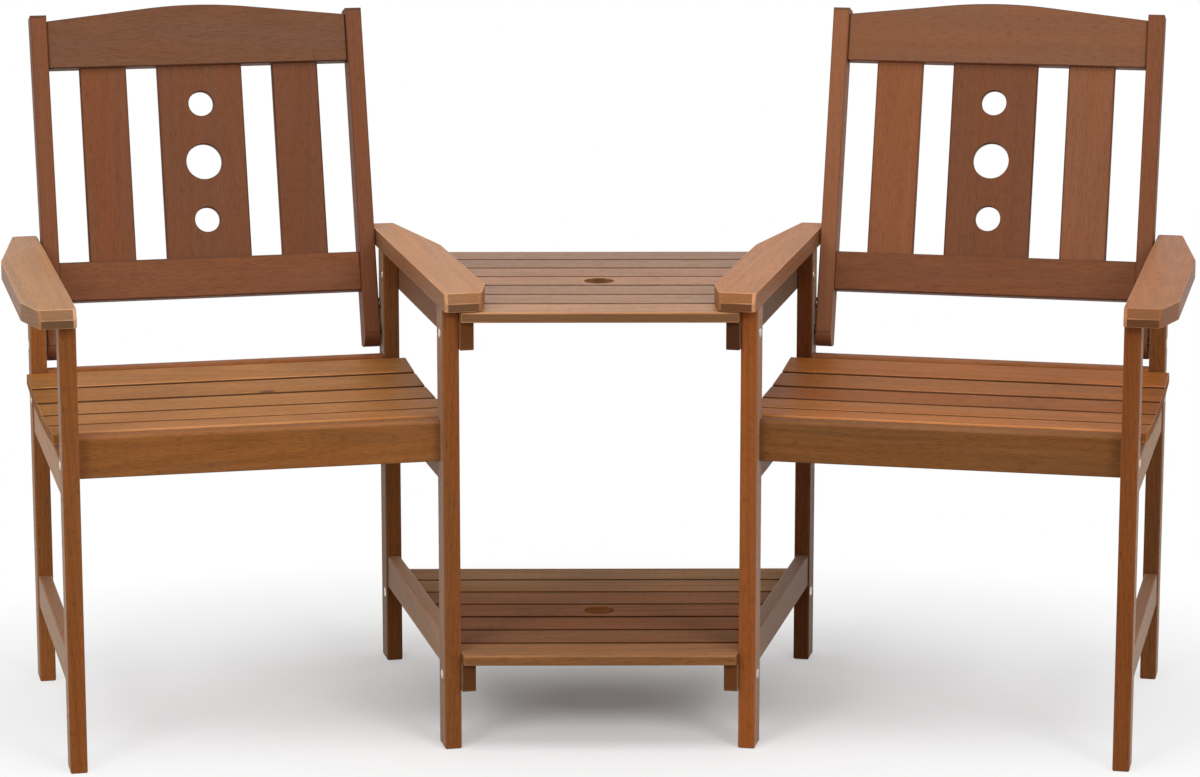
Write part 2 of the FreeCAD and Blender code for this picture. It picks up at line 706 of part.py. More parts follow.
def chair():
    """Every piece of one chair by name, each a list of solids."""
    pieces = {}
    for side in ("outer", "inner"):
        table_side = side == "inner"
        made = {
            "front_leg": leg(0, 0, table_side),
            "rear_leg": leg(REAR_LEG_FRONT, 1, table_side),
            "armrest": armrest(),
            "seat_side_rail": side_rail(SIDE_RAIL_BOTTOM),
            "stretcher": side_rail(STRETCHER_BOTTOM),
            "back_stile": back_stile(),
        }
        for name, shape in made.items():
            pieces[name + "_" + side] = [mirrored_side(shape) if table_side else shape]
    pieces["seat_apron"] = [cross_rail(0)]
    pieces["seat_rear_rail"] = [cross_rail(1)]
    pieces["seat_bearers"] = both_sides([seat_bearer()])
    pieces["seat_slats"] = seat_slats()
    pieces["crest_rail"] = [crest_rail()]
    pieces["back_lower_rail"] = [lower_back_rail()]
    for name, left, width in slat_layout():
        if name == "splat":
            pieces["back_splat"] = [back_splat(left, width)]
        else:
            pieces["back_slat_" + name] = [back_slat(left, width)]
    pieces["tabletop_bearer"] = [mirrored_side(table_bearer(TABLE_TOP))]
    pieces["shelf_bearer"] = [mirrored_side(table_bearer(SHELF_TOP))]
    pieces["frame_bolts"] = both_sides(frame_bolts())
    pieces["back_bolts"] = both_sides(back_bolts())
    pieces["back_spacers"] = both_sides(back_spacers())
    pieces["table_bolts"] = [mirrored_side(piece) for piece in table_bolts()]
    return pieces


def both_sides(shapes):
    """Pieces of the outer side together with their mirror images on the table side."""
    return shapes + [mirrored_side(shape) for shape in shapes]


def placed_left(shape):
    """A piece of a chair, turned and moved to the left of the table."""
    corner_x = -(TABLE_GAP / 2 + CHAIR_WIDTH * math.cos(TURN))
    moved = shape.copy()
    moved.rotate(Vector(0, 0, 0), ALONG_Z, CHAIR_TURN)
    moved.translate(Vector(corner_x, 0, 0))
    return moved


def bench():
    """Every piece of the bench by name, before the origin is moved to the middle of the plan."""
    nodes = {}
    for name, shapes in chair().items():
        left = [placed_left(shape) for shape in shapes]
        nodes["left_" + name] = left
        nodes["right_" + name] = [shape.mirror(Vector(0, 0, 0), ALONG_U) for shape in left]
    for name, top in (("tabletop", TABLE_TOP), ("shelf", SHELF_TOP)):
        plain, with_hole = table_slats(top)
        nodes[name + "_slats"] = plain
        nodes[name + "_hole_slat"] = [with_hole]
    return nodes


def main():
    nodes = bench()
    compounds = {name: Part.makeCompound(shapes) for name, shapes in nodes.items()}
    whole = Part.makeCompound(list(compounds.values())).optimalBoundingBox(False, False)
    to_origin = Vector(0, -(whole.YMin + whole.YMax) / 2, 0)
    for name, shape in compounds.items():
        shape.translate(to_origin)
        if len(shape.Solids) == 1:
            shape = shape.Solids[0]
        shape.exportStep("parts/" + name + ".step")
    print(len(compounds), "pieces,", round(whole.XLength, 1), "wide,", round(whole.YLength, 1), "deep,",
          round(whole.ZLength, 1), "high")


main()
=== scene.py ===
# Companion seat bench: two slatted garden armchairs joined by a wedge-shaped table with a shelf.
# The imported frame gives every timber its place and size. Most timbers are copied, cleaned and
# eased; the crest rails, armrests and fasteners are modelled anew. Each board gets its own piece
# of oiled hardwood, and the bench is set on a plain pale floor.

import functools
import math
import random

import bpy
from bpy.props import FloatProperty, FloatVectorProperty, IntProperty, PointerProperty
from mathutils import Matrix, Vector
from mathutils.bvhtree import BVHTree


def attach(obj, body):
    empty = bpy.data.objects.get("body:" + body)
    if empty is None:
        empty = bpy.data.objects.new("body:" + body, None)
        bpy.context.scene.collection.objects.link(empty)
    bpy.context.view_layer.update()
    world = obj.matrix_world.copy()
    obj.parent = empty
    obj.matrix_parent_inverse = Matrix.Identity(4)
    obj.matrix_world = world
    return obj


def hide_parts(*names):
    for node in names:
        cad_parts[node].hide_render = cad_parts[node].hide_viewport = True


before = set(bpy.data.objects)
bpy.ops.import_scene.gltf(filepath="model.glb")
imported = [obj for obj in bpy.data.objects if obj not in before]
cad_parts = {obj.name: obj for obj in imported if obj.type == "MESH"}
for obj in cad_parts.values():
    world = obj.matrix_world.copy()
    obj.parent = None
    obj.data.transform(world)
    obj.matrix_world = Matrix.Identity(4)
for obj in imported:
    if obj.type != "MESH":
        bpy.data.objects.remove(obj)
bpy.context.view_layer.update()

bl_info = {
    "name": "Companion seat bench",
    "version": (1, 0, 0),
    "blender": (4, 5, 0),
    "location": "View3D > Sidebar > Bench",
    "description": "Builds a pair of garden armchairs joined by a small table",
    "category": "Object",
}

MM = 0.001
HAIR = 0.01 * MM
HANDS = {"left": 1, "right": -1}

# The widest face of a rounded edge; the widest gap whose sides are darkened with painted shade,
# and how far from a side's ends it is looked for; how far a side turns from the board's own face,
# and over what span it comes to count in full; and from which share of Z a face is level, or an
# edge steep

WIDEST_ARRIS = 1.7 * MM
WIDEST_GAP = 12 * MM
GAP_INSET = 5 * MM
SIDE_TURN = 0.35
SIDE_TURN_SPAN = 0.3
LEVEL = 0.99
STEEP = 0.8

# How timber is finished: the refractive index of its oil, its roughness where it is smoothest,
# its pale sheen at a grazing look, how bold its figure is, how far the edges are worn and carry a
# painted highlight, and how pale they then are (below 1, a painted dark outline instead), how far
# the end grain and the pores are stained, and how far painted shade darkens the narrow sides. A
# kind of timber gives what differs from the plain finish.

PLAIN_FINISH = {"index": 1.2, "smoothest": 0.45, "sheen": 0.0, "figure": 1.0, "wear": 0.6,
                "edge": 1.5, "end": 0.45, "sides": 0.0, "pores": 0.5}
FINISHES = {
    "frame": {"sheen": 0.5},
    "rail": {},
    "back": {"index": 1.25, "smoothest": 0.5, "figure": 0.5, "wear": 0.9, "edge": 0.45,
             "end": 0.3, "pores": 0.22},
    "arm": {"index": 1.28, "smoothest": 0.42, "figure": 0.9, "wear": 1.0, "edge": 2.2,
            "end": 0.9, "sides": 0.32, "pores": 0.25},
    "seat": {"index": 1.22, "smoothest": 0.46, "figure": 1.2, "wear": 0.8, "edge": 1.9,
             "end": 0.4, "sides": 0.2},
    "table": {"index": 1.3, "smoothest": 0.33, "figure": 1.6, "edge": 1.7, "end": 0.4,
              "sides": 0.75},
    "shelf": {"index": 1.15, "smoothest": 0.55, "figure": 1.2, "wear": 0.5, "end": 0.4,
              "sides": 0.25},
}
SHEEN = {"Sheen Roughness": 0.3, "Sheen Tint": (1.0, 0.88, 0.7, 1)}

# The marks of the grain: how often each repeats in a metre along the grain and across it, its
# detail and its roughness; between which levels a mark fades in; how each board's seed moves
# them; how far the rings sway, and how deep the pith lies; and the relief of fibres and pores

FIGURE = ("Rings", "Streaks", "Fibres", "Pores", "Blotches", "Tint", "Knot")
GRAIN = {
    "Sway": ((2.4, 11, 11), 2, 0.5),
    "Specks": ((75, 2300, 2300), 0, 0.5),
    "Fibres": ((16, 780, 780), 2, 0.6),
    "Streaks": ((1.6, 95, 95), 4, 0.6),
    "Blotches": ((5, 16, 16), 2, 0.5),
    "Tint": ((3.5, 30, 30), 3, 0.5),
}
FADES = {"Fibres": (0.25, 0.75), "Streaks": (0.3, 0.7), "Blotches": (0.3, 0.7), "Tint": (0.3, 0.7)}
PORE_FADE = (0.6, 0.72)
FACING_FADE = (0.8, 1.0)
SEED_STEPS = (37.0, 53.0, 71.0)
SWAY = 30 * MM
PITH_DEPTH = 50 * MM
FIBRE_RELIEF = 0.35
PORE_RELIEF = 0.8

# A knot, in its half widths: how much longer it is, how far and how strongly it parts the grain,
# and where its own edge fades

KNOT_STRETCH = 2.2
KNOT_REACH = (0.8, 3.5)
KNOT_PUSH = 0.7
KNOT_EDGE = (0.55, 1.15)

# How far each mark makes the wood paler or rougher; how the end grain calms them; how far the
# colour swings to pale and to dark, and how dark the stains and the painted side shade are; the
# tints; how patchy the rubbed edges are, paler with a painted highlight on most kinds and darker
# with a painted outline on the backs, and how much hue they keep; how well the painted shade in
# gaps and a knot cover the wood; and the clouds of the steel and of the nylon

PALENESS = {"Rings": 0.24, "Streaks": 0.34, "Fibres": 0.24, "Blotches": 0.18}
ROUGHENING = {"Fibres": 0.1, "Pores": 0.2, "End Grain": 0.25}
END_CALM = 0.7
PALE_STEP = 0.2
DARK_STEP = 0.22
STAIN_SHARE = 0.3
WARM_TINT = (1.05, 0.98, 0.88, 1)
COOL_TINT = (0.97, 1.01, 1.12, 1)
WARMTH_SHARE = 0.25
RUB_AND_EDGE_LIGHT_PATCHES = 0.8
RUBBED_AND_LIT_EDGE_HUE = 0.8
GAP_SHADE_TINT = (0.55, 0.45, 0.35, 1)
GAP_SHADE_COVER = 0.95
KNOT_COVER = 0.95
STEEL_FADE = (0.35, 0.7)
STEEL_SHADES = (0.75, 1.05)
NYLON_BLACK = (0.02, 0.018, 0.016, 1)
NYLON_GREY = (0.045, 0.04, 0.036, 1)

# The tone and the warmth of boards that differ from their neighbours, partly the wood's own tone
# and partly painted light and shade: darker for boards in the shade under the seats, armrests and
# table, paler for boards that catch a grazing reflection; and the one board that has a knot: the
# knot's place and its half width

BOARD_TONES_AND_LIGHT = {
    "left": {
        "crest_rail": (0.92, 0.84), "back_slat_outer": (0.91, 1.05),
        "back_slat_inner": (0.77, 1.05), "back_splat": (0.8, 1.0),
        "back_stile_inner": (0.92, 1.04), "front_leg_outer": (0.92, 1.0),
        "front_leg_inner": (0.96, 1.0), "rear_leg_outer": (1.15, 0.93),
        "rear_leg_inner": (0.85, 0.9), "stretcher_outer": (1.3, 0.9),
        "stretcher_inner": (1.4, 0.87), "seat_side_rail_outer": (2.0, 0.8),
        "tabletop_bearer": (0.75, 1.0), "shelf_bearer": (0.65, 1.0), "armrest_outer": (1.23, 0.9),
        "armrest_inner": (1.25, 0.95), "seat_apron": (1.22, 0.88),
        "seat_slats_wood_1": (1.48, 0.95), "seat_slats_wood_2": (1.55, 0.92),
        "seat_slats_wood_3": (1.48, 0.95), "seat_slats_wood_4": (1.36, 0.92),
        "seat_slats_wood_5": (1.48, 0.95),
    },
    "right": {
        "crest_rail": (1.33, 0.88), "back_slat_outer": (1.35, 0.93),
        "back_slat_inner": (1.15, 1.04), "back_splat": (0.8, 1.06),
        "back_stile_inner": (1.5, 0.92), "front_leg_outer": (0.78, 1.1),
        "front_leg_inner": (1.04, 1.12), "rear_leg_outer": (0.72, 0.95),
        "rear_leg_inner": (0.4, 1.15), "stretcher_inner": (0.55, 1.1),
        "seat_side_rail_outer": (1.6, 0.8), "tabletop_bearer": (0.4, 1.0),
        "shelf_bearer": (0.85, 0.95), "armrest_outer": (0.82, 1.15), "armrest_inner": (1.14, 1.06),
        "seat_apron": (0.99, 0.85), "seat_slats_wood_1": (1.3, 1.12),
        "seat_slats_wood_2": (1.23, 1.12), "seat_slats_wood_3": (0.88, 1.2),
        "seat_slats_wood_4": (1.02, 1.1), "seat_slats_wood_5": (0.95, 1.17),
    },
    "tabletop": {
        "slats_wood_1": (1.62, 0.93), "slats_wood_2": (1.34, 0.9), "slats_wood_3": (1.04, 0.98),
        "hole_slat": (1.2, 1.02), "slats_wood_4": (1.12, 1.04),
    },
    "shelf": {
        "slats_wood_1": (1.45, 0.89), "slats_wood_2": (0.95, 1.0), "slats_wood_3": (0.88, 1.12),
        "hole_slat": (0.98, 1.08), "slats_wood_4": (1.22, 0.97), "slats_wood_5": (1.9, 0.82),
        "slats_wood_6": (2.25, 0.75),
    },
}
KNOTS = {"left_seat_slats_wood_4": ((-0.4495, 0.0056, 0.433), 6 * MM)}

# How far back from a chair's front and how high above the floor the bolts lie, in millimetres;
# a head's rim and its narrowing steps, as shares of its height; a shank's tip; the roundings of
# the edges; and a barrel nut's slot

FRAME_BOLTS = (30, 456)
BACK_BOLTS = ((470, 476), (478, 512))
TABLE_BOLTS = ((20, 555), (458, 555), (20, 98), (458, 98))
HEAD_RIM = 0.45
SOCKET_DEPTH = 0.7
HEAD_STEPS = ((0.2, 0.93), (0.17, 0.9), (0.12, 0.86), (0.06, 0.8))
SHANK_TIP = 0.3
TIP_NARROWING = 0.75
BOLT_EDGE = 0.15 * MM
SPACER_EDGE = 0.2 * MM
BARREL_EDGE = 0.3 * MM
SLOT_WIDTH = 1.2 * MM
SLOT_DEPTH = 1.2 * MM

# The soft lights: where each stands, how wide it is, and which setting is its power; the point
# that they look at; the camera's sensor in millimetres; and the corners of the round floor, its
# two shades, and the oval within which it turns into the white backdrop, with a tenth of that
# white glow left near the bench as painted light in its shadow

LIGHTS = {
    "key_light": ((0, -1.0, 4.6), 2.6, "key_power"),
    "left_light": ((-2.6, -4.4, 3.2), 1.8, "fill_power"),
    "right_light": ((2.6, -4.4, 3.2), 1.8, "fill_power"),
}
LIT_POINT = (0, 0, 0.4)
SENSOR_WIDTH = 36
FLOOR_SIDES = 96
FLOOR_SHADES = (0.99, 1.01)
FLOOR_OVAL = (0.8, 1.25, 1)
FLOOR_FADE = (0.05, 1.0, 0.1, 1.0)


# Sizes and colours that a user would change

def Length(name, description, millimetres):
    return FloatProperty(
        name=name, description=description, default=millimetres * MM, unit="LENGTH")


def Angle(name, description, degrees):
    return FloatProperty(
        name=name, description=description, default=math.radians(degrees), subtype="ANGLE")


def Colour(name, description, colour):
    return FloatVectorProperty(name=name, description=description, default=colour, subtype="COLOR")


class BenchPlan(bpy.types.PropertyGroup):
    """Where the chairs stand, in the sizes of the joiner's plan."""
    chair_width: Length("Chair width", "Over the legs of one chair", 514)
    chair_depth: Length(
        "Chair depth", "From the front of a front leg to the back of a rear leg", 486)
    leg_thickness: Length("Leg thickness", "Of the legs, across the chair", 22)
    apron_underside: Length(
        "Apron underside", "Its height; the seat bearers are planed off there", 385)
    rear_rail_rise: Length(
        "Rear rail rise", "How far the rear rails stand above the solids' level", 3.2)
    chair_turn: Angle("Chair turn", "How far each chair turns towards the other", 12.5)
    table_gap: Length("Table gap", "Between the two chairs at their front corners", 363.8)
    plan_shift: Length("Plan shift", "From the foremost corner to the middle of the plan", 347.42)
    back_lean: Angle("Back lean", "How far the backs lean from upright", 17.2)


class CrestSizes(bpy.types.PropertyGroup):
    """The top rail of a back, measured up the leaning stile from its foot."""
    foot_setback: Length(
        "Foot setback", "From the back of the rear leg to the front of the stile's foot", 36)
    foot_height: Length("Foot height", "Of the stile's foot above the floor", 451)
    stile_inside: Length("Stile inside", "From the chair's side to the inner face of a stile", 47)
    front: Length("Front", "From the front of the stiles to the front of the rail", 6.5)
    thickness: Length("Thickness", "Of the rail", 24)
    start: Length("Start", "Lower edge of the rail", 413)
    end_height: Length("End height", "Height of the rail at its ends", 67)
    slope: Angle("Slope", "Of the straight parts of the top edge", 6.1)
    arc_half: Length("Half arc", "Half the width of the arc in the middle", 70)
    edge_radius: Length("Edge radius", "Of the rail's edges", 2.2)
    stations: IntProperty(
        name="Stations", description="Cuts along the curved top edge", default=41, min=5)


class ArmrestSizes(bpy.types.PropertyGroup):
    """An armrest, measured outwards from its inner edge and back from its front end."""
    width: Length("Width", "At its widest", 65.5)
    front_width: Length("Front width", "Of the front end", 47.5)
    rear_width: Length("Rear width", "Of the rear end", 34)
    front_taper: Length("Front taper", "Length of the cut front corner", 65)
    rear_taper: Length("Rear taper", "Length of the narrowing rear part", 201)
    front_overhang: Length("Front overhang", "In front of the front leg", 20)
    rear_overhang: Length("Rear overhang", "Behind the rear leg", 71)
    underside: Length("Underside", "Height above the floor", 589)
    thickness: Length("Thickness", "Of the board", 24)
    bevel_height: Length("Bevel height", "Of the sloping face at the front end", 13)
    bevel_depth: Length("Bevel depth", "Of the sloping face at the front end", 6.5)
    corner_radius: Length("Corner radius", "Of the upright corners", 5)
    edge_radius: Length("Edge radius", "Of the long edges", 2.0)


class TimberFinish(bpy.types.PropertyGroup):
    """The look of the oiled hardwood."""
    arris: Length("Arris", "Radius of the sanded edges", 1.0)
    ring_spacing: Length("Ring spacing", "Distance between growth rings", 6.5)
    bump: Length("Bump", "Depth of the pores", 0.25)
    variation: FloatProperty(
        name="Variation", description="How much the boards differ in tone",
        default=0.08, subtype="FACTOR", min=0, max=1)
    frame_colour: Colour("Frame", "Legs, rails, aprons and bearers", (0.262, 0.085, 0.0195))
    back_colour: Colour("Back", "Stiles, slats and crest rails of the backs", (0.2, 0.07, 0.027))
    arm_colour: Colour("Armrests", "All four armrests", (0.34, 0.147, 0.055))
    seat_colour: Colour("Seat", "Slats of the seats", (0.29, 0.11, 0.025))
    table_colour: Colour("Table", "Slats of the tabletop", (0.262, 0.108, 0.035))
    shelf_colour: Colour("Shelf", "Slats of the shelf", (0.235, 0.09, 0.028))


class FastenerSizes(bpy.types.PropertyGroup):
    """Bolts, barrel nuts and spacers."""
    head_radius: Length("Head radius", "Of the domed bolt heads", 6.5)
    head_height: Length("Head height", "Of the domed bolt heads", 3.2)
    socket_radius: Length("Socket radius", "To the corners of the hexagonal socket", 2.3)
    shank_radius: Length("Shank radius", "Of the bolts", 3)
    frame_bolt: Length("Frame bolt", "Length, through legs into rails", 62)
    back_bolt: Length("Back bolt", "Length, through legs into stiles", 38)
    table_bolt: Length("Table bolt", "Length, from bearers into legs", 35)
    frame_bolt_height: Length("Frame bolt height", "Above the floor", 403)
    barrel_radius: Length("Barrel radius", "Of the barrel nuts", 5)
    barrel_length: Length("Barrel length", "Of the barrel nuts", 14)
    barrel_setback: Length("Barrel setback", "From the end of a rail to its barrel nut", 35)
    spacer_radius: Length("Spacer radius", "Outside", 8)
    spacer_hole: Length("Spacer hole", "Radius of the hole", 3.25)
    spacer_thickness: Length("Spacer thickness", "The gap between a leg and a stile", 2.5)
    metal_colour: Colour("Metal", "Zinc plated steel", (0.8, 0.76, 0.66))


class StageSettings(bpy.types.PropertyGroup):
    """Floor, lights and camera."""
    floor_radius: Length("Floor radius", "Of the round floor", 40000)
    floor_colour: Colour("Floor", "As the camera sees it near the bench", (0.9, 0.9, 0.9))
    bounce_colour: Colour(
        "Bounce", "The floor, for the light that it throws back", (0.5, 0.5, 0.5))
    key_power: FloatProperty(
        name="Key light", description="Power of the large light overhead", default=78)
    fill_power: FloatProperty(
        name="Fill light", description="Power of each light in front", default=72)
    sky_level: FloatProperty(
        name="Sky", description="Level of the even light from all round", default=0.5)
    camera_place: FloatVectorProperty(
        name="Camera", description="Where the camera stands",
        default=(-0.0316, -5.2781, 1.530), subtype="TRANSLATION")
    camera_pitch: Angle("Pitch", "How far the camera looks down", 11.71)
    camera_turn: Angle("Turn", "How far the camera turns to the right", 0.36)
    focal_length: FloatProperty(
        name="Focal length", description="In millimetres on a 36 mm sensor", default=119.3)


def plan():
    return bpy.context.scene.bench_plan


def timber_finish():
    return bpy.context.scene.timber_finish


def crest():
    return bpy.context.scene.crest_sizes


def armrest():
    return bpy.context.scene.armrest_sizes


def fasteners():
    return bpy.context.scene.fastener_sizes


# Places: u runs across a chair from its outer side to the table, v to the back and z up

def chair_matrix(side):
    """Turns a chair that is drawn square to its own axes and moves it into its place."""
    sizes = plan()
    hand = HANDS[side]
    corner = sizes.table_gap / 2 + sizes.chair_width * math.cos(sizes.chair_turn)
    return (Matrix.Translation((-hand * corner, -sizes.plan_shift, 0))
            @ Matrix.Rotation(hand * sizes.chair_turn, 4, "Z"))


def chair_point(side, u, v, z):
    """A point of a chair in the bench's own frame."""
    return chair_matrix(side) @ Vector((HANDS[side] * u, v, z))


def chair_direction(side, direction):
    """A direction of a chair in the bench's own frame."""
    u, v, z = direction
    return chair_matrix(side).to_3x3() @ Vector((HANDS[side] * u, v, z))


def leaned(direction):
    """A direction of the upright back, leaned with it."""
    return Matrix.Rotation(-plan().back_lean, 3, "X") @ Vector(direction)


# Modelling

def deselect():
    bpy.ops.object.select_all(action="DESELECT")


def pick(*objects):
    """Selects some objects and makes the last one active."""
    deselect()
    for item in objects:
        item.select_set(True)
    bpy.context.view_layer.objects.active = objects[-1]


def discard(piece):
    pick(piece)
    bpy.ops.object.delete()


def start_edit(piece, elements="FACE", action="DESELECT"):
    """Opens a piece in edit mode with nothing selected, or with all of it."""
    pick(piece)
    bpy.ops.object.mode_set(mode="EDIT")
    bpy.ops.mesh.select_mode(type=elements)
    bpy.ops.mesh.select_all(action=action)


def end_edit():
    bpy.ops.mesh.select_all(action="DESELECT")
    bpy.ops.object.mode_set(mode="OBJECT")


def select_faces(piece, test):
    """Selects the faces of a piece in edit mode whose centre and normal pass a test."""
    bpy.ops.object.mode_set(mode="OBJECT")
    for polygon in piece.data.polygons:
        polygon.select = test(polygon.center, polygon.normal)
    bpy.ops.object.mode_set(mode="EDIT")


def cut_away(point, normal):
    """Cuts off all of a mesh in edit mode that lies beyond a plane, and closes the cut."""
    bpy.ops.mesh.select_all(action="SELECT")
    bpy.ops.mesh.bisect(
        plane_co=point, plane_no=Vector(normal).normalized(), use_fill=True, clear_outer=True,
        threshold=0.1 * HAIR)


def apply_modifier(piece, kind, **settings):
    """Adds one modifier with its settings and applies it."""
    modifier = piece.modifiers.new(kind.title(), kind)
    for key, value in settings.items():
        setattr(modifier, key, value)
    pick(piece)
    bpy.ops.object.modifier_apply(modifier=modifier.name)


def bevel(piece, width, segments=2, angle=45):
    """Rounds those edges of a piece that turn by more than an angle in degrees."""
    apply_modifier(piece, "BEVEL", width=width, segments=segments, limit_method="ANGLE",
                   angle_limit=math.radians(angle))


def subtract(piece, cutter):
    """Cuts one piece out of another."""
    apply_modifier(piece, "BOOLEAN", object=cutter, operation="DIFFERENCE", solver="EXACT")
    discard(cutter)


def smooth(piece):
    """Smooths the roundings of a piece and keeps its faces flat."""
    pick(piece)
    bpy.ops.object.shade_smooth_by_angle(angle=math.radians(50))
    apply_modifier(piece, "WEIGHTED_NORMAL", keep_sharp=True)


def move_mesh(piece, matrix):
    """Moves a modelled piece into its place, which then lies in its mesh."""
    piece.matrix_world = matrix
    pick(piece)
    bpy.ops.object.transform_apply(location=True, rotation=True, scale=True)


def centre_of(piece):
    corners = [Vector(corner) for corner in piece.bound_box]
    return sum(corners, Vector()) / len(corners)


def boards_of(node):
    """Clean copies of a CAD node, one for each board in it, in order from front to back."""
    pick(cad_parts[node])
    bpy.ops.object.duplicate()
    copy = bpy.context.active_object
    copy.parent = None
    start_edit(copy, "VERT", "SELECT")
    bpy.ops.mesh.remove_doubles(threshold=HAIR)
    bpy.ops.mesh.dissolve_limited(angle_limit=math.radians(0.5))
    bpy.ops.mesh.separate(type="LOOSE")
    end_edit()
    boards = list(bpy.context.selected_objects)
    boards.sort(key=lambda board: (round(centre_of(board).y, 3), centre_of(board).x))
    return boards


@functools.cache
def timber_surfaces():
    """All timbers of the frame as one searchable surface."""
    points, faces = [], []
    for name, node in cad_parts.items():
        if "bolts" in name or "spacers" in name:
            continue
        start = len(points)
        points += [vertex.co.copy() for vertex in node.data.vertices]
        faces += [[start + index for index in polygon.vertices] for polygon in node.data.polygons]
    return BVHTree.FromPolygons(points, faces)


def longest_edge(mesh, polygon):
    points = [mesh.vertices[index].co for index in polygon.vertices]
    edges = (second - first for first, second in zip(points, points[1:] + points[:1]))
    return max(edges, key=lambda edge: edge.length)


def mark_rubbed_and_lit_edges(board):
    """Marks the ridges of the rounded edges, where the oil wears thin and the colour also paints a
    highlight, on the backs a dark outline.
    """
    mesh = board.data
    marks = [1.0] * len(mesh.vertices)
    for polygon in mesh.polygons:
        if polygon.area > longest_edge(mesh, polygon).length * WIDEST_ARRIS:
            for index in polygon.vertices:
                marks[index] = 0.0
    mesh.attributes.new("arris", "FLOAT", "POINT").data.foreach_set("value", marks)


def faces_neighbour(mesh, polygon, sideways):
    """Whether a side has another timber close by along its whole length."""
    along = longest_edge(mesh, polygon).normalized()
    reach = max(abs((mesh.vertices[index].co - polygon.center).dot(along))
                for index in polygon.vertices)
    for share in (-1, 0, 1):
        start = polygon.center + along * share * max(0.0, reach - GAP_INSET) + sideways * MM
        met = timber_surfaces().ray_cast(start, sideways, WIDEST_GAP)[1]
        if met is None or met.dot(sideways) > 0:
            return False
    return True


def mark_gap_shade(board, face):
    """Marks the sides that look into a narrow gap, to be darkened with painted shade."""
    outwards = Vector(face).normalized()
    marks = []
    for polygon in board.data.polygons:
        sideways = polygon.normal - outwards * polygon.normal.dot(outwards)
        depth = min(1.0, max(0.0, (sideways.length - SIDE_TURN) / SIDE_TURN_SPAN))
        if depth > 0 and not faces_neighbour(board.data, polygon, sideways.normalized()):
            depth = 0.0
        marks.append(depth)
    board.data.attributes.new("gap", "FLOAT", "FACE").data.foreach_set("value", marks)


def finish_board(board, node, grain, face, kind):
    """Gives a board its own hardwood and puts it in its node's place."""
    mark_rubbed_and_lit_edges(board)
    mark_gap_shade(board, face)
    board.data.materials.clear()
    board.data.materials.append(hardwood(board, grain, face, kind))
    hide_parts(node)
    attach(board, "root")


def timber(node, grain, face, kind, lowest=0.0, rise=0.0):
    """The boards of a CAD node, trimmed or raised, eased, finished and in the node's place."""
    boards = boards_of(node)
    for number, board in enumerate(boards):
        board.name = node + "_wood" if len(boards) == 1 else f"{node}_wood_{number + 1}"
        if lowest:
            start_edit(board)
            cut_away((0, 0, lowest), (0, 0, -1))
            end_edit()
        if rise:
            move_mesh(board, Matrix.Translation((0, 0, rise)))
        bevel(board, timber_finish().arris, segments=3, angle=25)
        smooth(board)
        finish_board(board, node, grain, face, kind)


def cylinder(sides, radius, depth, middle=0.0):
    """A new cylinder along Z, with its middle at a height."""
    deselect()
    bpy.ops.mesh.primitive_cylinder_add(
        vertices=sides, radius=radius, depth=depth, location=(0, 0, middle))
    return bpy.context.active_object


def block(size, centre):
    """A new block, left open in edit mode with all of it selected."""
    deselect()
    bpy.ops.mesh.primitive_cube_add(size=1)
    piece = bpy.context.active_object
    start_edit(piece, action="SELECT")
    bpy.ops.transform.resize(value=size)
    bpy.ops.transform.translate(value=centre)
    return piece


def crest_height(across):
    """Height of the crest rail at a distance from the middle of the back."""
    sizes = crest()
    half = plan().chair_width / 2 - sizes.stile_inside
    slope = math.tan(sizes.slope)
    across = abs(across)
    if across > sizes.arc_half:
        return sizes.end_height + (half - across) * slope
    radius = sizes.arc_half / math.sin(sizes.slope)
    drop = radius - math.sqrt(radius ** 2 - across ** 2)
    crown = radius - math.sqrt(radius ** 2 - sizes.arc_half ** 2)
    return sizes.end_height + (half - sizes.arc_half) * slope + crown - drop


def model_crest(side):
    """A crest rail: a block cut at its stations, raised to its arched outline and leaned."""
    sizes = crest()
    half = plan().chair_width / 2 - sizes.stile_inside
    middle = sizes.start + sizes.end_height / 2
    rail = block((2 * half, sizes.thickness, sizes.end_height),
                 (0, sizes.front + sizes.thickness / 2, middle))
    for step in range(1, sizes.stations + 1):
        place = half * (2 * step / (sizes.stations + 1) - 1)
        bpy.ops.mesh.select_all(action="SELECT")
        bpy.ops.mesh.bisect(plane_co=(place, 0, 0), plane_no=(1, 0, 0))
    end_edit()
    for vertex in rail.data.vertices:
        if vertex.co.z > middle:
            vertex.co.z = sizes.start + crest_height(vertex.co.x)
    bevel(rail, sizes.edge_radius, segments=4, angle=40)
    foot = Vector((HANDS[side] * plan().chair_width / 2,
                   plan().chair_depth - sizes.foot_setback, sizes.foot_height))
    move_mesh(rail, chair_matrix(side) @ Matrix.Translation(foot)
              @ Matrix.Rotation(-plan().back_lean, 4, "X"))
    smooth(rail)
    rail.name = side + "_crest_rail_wood"
    return rail


def round_corners(piece, radius):
    """Rounds the upright corners of a piece."""
    start_edit(piece, "EDGE")
    bpy.ops.object.mode_set(mode="OBJECT")
    for edge in piece.data.edges:
        start, end = (piece.data.vertices[index].co for index in edge.vertices)
        edge.select = abs((end - start).normalized().z) > STEEP
    bpy.ops.object.mode_set(mode="EDIT")
    bpy.ops.mesh.bevel(offset=radius, segments=4, affect="EDGES")
    end_edit()


